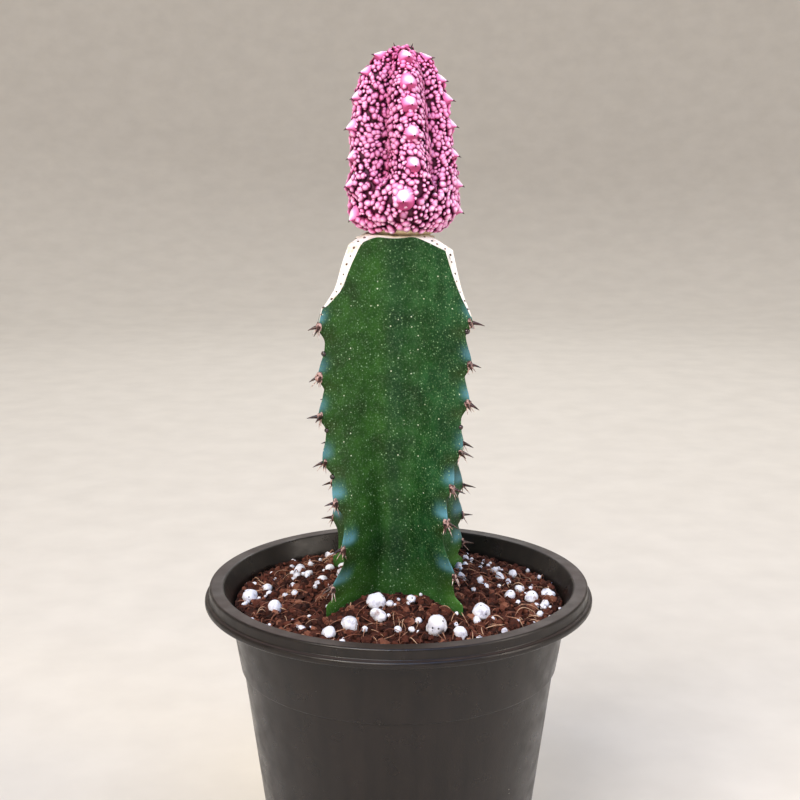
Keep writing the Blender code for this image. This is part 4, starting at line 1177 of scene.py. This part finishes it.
def makeScionTeeth():
    # each tooth runs from t = 0 in the body to t = 1 at its tip, like a rose's thorn: its middle goes out evenly
    # and droops as t^2, its height above shrinks as (1 - t)^0.85, its width and its height below as (1 - t)^1.2
    rng = np.random.default_rng(9)
    s = scionShape
    rib, z, rise, turn = toothPlaces()
    foot, normal, side, _ = scionFrames(rise, turn)
    out = unit(normal * (1, 1, 0.6))
    up = np.cross(out, side)
    rows, columns = 16, 28
    grow = rng.uniform(0.90, 1.12, len(z))
    grow[rib == 0] *= 1.15
    grow[0] = 1.55      # the lowest tooth in front is the biggest
    grow[z > 0.042] *= 0.90
    vary = grow[:, None, None, None]
    t = np.linspace(0, 0.985, rows)[None, :, None, None]
    around = np.arange(columns) * 2 * pi / columns
    sink = 0.0010
    reach = (s["toothReach"] + sink) * vary
    across = np.cos(around)[None, None, :, None] * s["toothWidth"] * (1 - t ** 1.5) * vary
    rising = np.sin(around)[None, None, :, None]
    along = np.where(rising > 0, s["toothAbove"] * (1 - t) ** 0.85, s["toothBelow"] * (1 - t) ** 1.2) * rising * vary
    centre = foot - out * sink
    point = (
        centre[:, None, None] + out[:, None, None] * reach * t + side[:, None, None] * across
        + up[:, None, None] * (along - s["toothDroop"] * t ** 2)
    )
    point = point + 0.00022 * (softNoise(point, 0.0013) * (1 - t[..., 0]))[..., None] * normal[:, None, None]
    tips = centre + out * reach[:, 0, 0] - up * s["toothDroop"]
    # painted light: each tooth's upper side is painted lighter as a highlight towards the tip, and its underside darker
    # as painted shade and more vivid magenta
    light = smoothStep(0.5 + 0.62 * np.sin(around))[None, None, :] + 0 * t[..., 0]
    paintedShadeAndHighlight = np.broadcast_to(0.42 + 0.58 * light * (0.35 + 0.65 * smoothStep(t[..., 0] * 1.6)), point.shape[:3])
    vivid = np.broadcast_to(1.0 - 0.85 * light * smoothStep(t[..., 0] * 1.6), point.shape[:3])
    teeth = makePiece(
        "ribTeeth", ringSkins(point, np.stack((centre, tips), 1)), granuleSkin("waxyPinkTeeth", 0.36),
        attributes={"paintedShadeAndHighlight": perPoint(paintedShadeAndHighlight), "vivid": perPoint(vivid)},
    )
    settle(teeth, "scion_skin")
    ways = unit(out - up * 0.7)
    hooks = spines(
        tips - ways * 0.0005, ways, rng.uniform(0.0008, 0.0011, len(z)), np.full(len(z), 0.00030),
        np.full(len(z), 0.0001),
    )
    maroon = horn("maroonToothTip", "#1d0a0f", "#4c1c28", 0.4)
    settle(makePiece("toothTips", ringSkins(hooks), maroon), "scion_skin")
    # two longer spines stand at the very tip
    feet = np.array(((-0.0004, -0.0012, 0.0480), (0.0030, -0.0010, 0.0480))) + (0, 0, s["footZ"])
    ways = unit(np.array(((-0.45, -0.1, 1.0), (0.40, -0.1, 1.0))))
    tops = spines(feet, ways, np.array((0.0023, 0.0021)), np.array((0.00042, 0.0004)), np.array((-0.0001, -0.0001)))
    settle(makePiece("apexSpines", ringSkins(tops), maroon), "scion_skin")


# Stage: a pale floor that curves up all round, soft boxes and the camera

stageShape = {
    "flatRadius": 1.1, "bend": 0.9, "wall": 1.8,
    "cameraPlace": (0.0004, -0.392, 0.233), "cameraPitch": 78.13, "lens": 65.25,
}


def makeStage():
    bend = np.linspace(0, pi / 2, 24)
    radius = np.concatenate(([0.02, 0.3, 0.7], stageShape["flatRadius"] + stageShape["bend"] * np.sin(bend)))
    height = np.concatenate(([0.0, 0.0, 0.0], stageShape["bend"] * (1 - np.cos(bend))))
    radius = np.append(radius, radius[-1])
    height = np.append(height, height[-1] + stageShape["wall"])
    turn = np.arange(96) * 2 * pi / 96
    rings = np.stack((
        radius[:, None] * np.cos(turn), radius[:, None] * np.sin(turn), height[:, None] + 0 * turn,
    ), -1)
    points, quads, fans = ringSkins(rings[None])
    floorFans = fans[:96]      # the floor's middle is closed and the top stays open
    material, tree, shader, place = newMaterial("paleBackdropPaper", Roughness=0.9)
    fibre = addNode(tree, "TexNoise", {"Vector": place, "Scale": 40.0, "Detail": 3.0}).outputs["Fac"]
    tree.links.new(addNode(tree, "ValToRGB", {0: fibre}, stops=[
        (0.3, linear("#d8d3ca")), (0.7, linear("#dfdad1")),
    ]).outputs[0], shader.inputs["Base Color"])
    floor = makePiece("paleFloor", (points, quads[:, ::-1], floorFans[:, ::-1]), material)

    def softBox(name, place, size, power, colour):
        light = bpy.data.lights.new(name, "AREA")
        light.shape = "RECTANGLE"
        light.size, light.size_y = size
        light.energy = power
        light.color = linear(colour)[:3]
        lamp = bpy.data.objects.new(name, light)
        lamp.location = place
        lamp.rotation_euler = (Vector((0, 0, 0.14)) - Vector(place)).to_track_quat("-Z", "Y").to_euler()
        bpy.context.scene.collection.objects.link(lamp)

    softBox("warmKey", (-0.45, -0.85, 0.90), (0.7, 0.6), 16.0, "#fff2e0")
    softBox("coolFront", (0.05, -0.72, 1.05), (1.3, 0.14), 7.0, "#7fb2ff")
    softBox("coolRight", (0.95, -0.35, 0.55), (0.4, 0.8), 6.0, "#fff4e8")
    softBox("softBack", (0.1, 0.95, 0.9), (0.8, 0.5), 5.0, "#ffffff")
    world = bpy.data.worlds.new("studio")
    world.use_nodes = True
    world.node_tree.nodes["Background"].inputs["Color"].default_value = linear("#f6f4f2")
    world.node_tree.nodes["Background"].inputs["Strength"].default_value = 0.42
    bpy.context.scene.world = world
    bpy.context.scene.view_settings.view_transform = "Standard"
    camera = bpy.data.cameras.new("photoView")
    camera.lens = stageShape["lens"]
    camera.sensor_width = 36.0
    camera.clip_start = 0.01
    view = bpy.data.objects.new("photoView", camera)
    view.location = stageShape["cameraPlace"]
    view.rotation_euler = (radians(stageShape["cameraPitch"]), 0.0, 0.0)
    bpy.context.scene.collection.objects.link(view)
    bpy.context.scene.camera = view


print("stage")
makeStage()
print("pot")
makePot()
print("soil")
makeSoil()
makePerlite()
print("stock")
makeStock()
makeThorns()
makeCutDots()
print("scion")
makeScion()
makeScionTeeth()
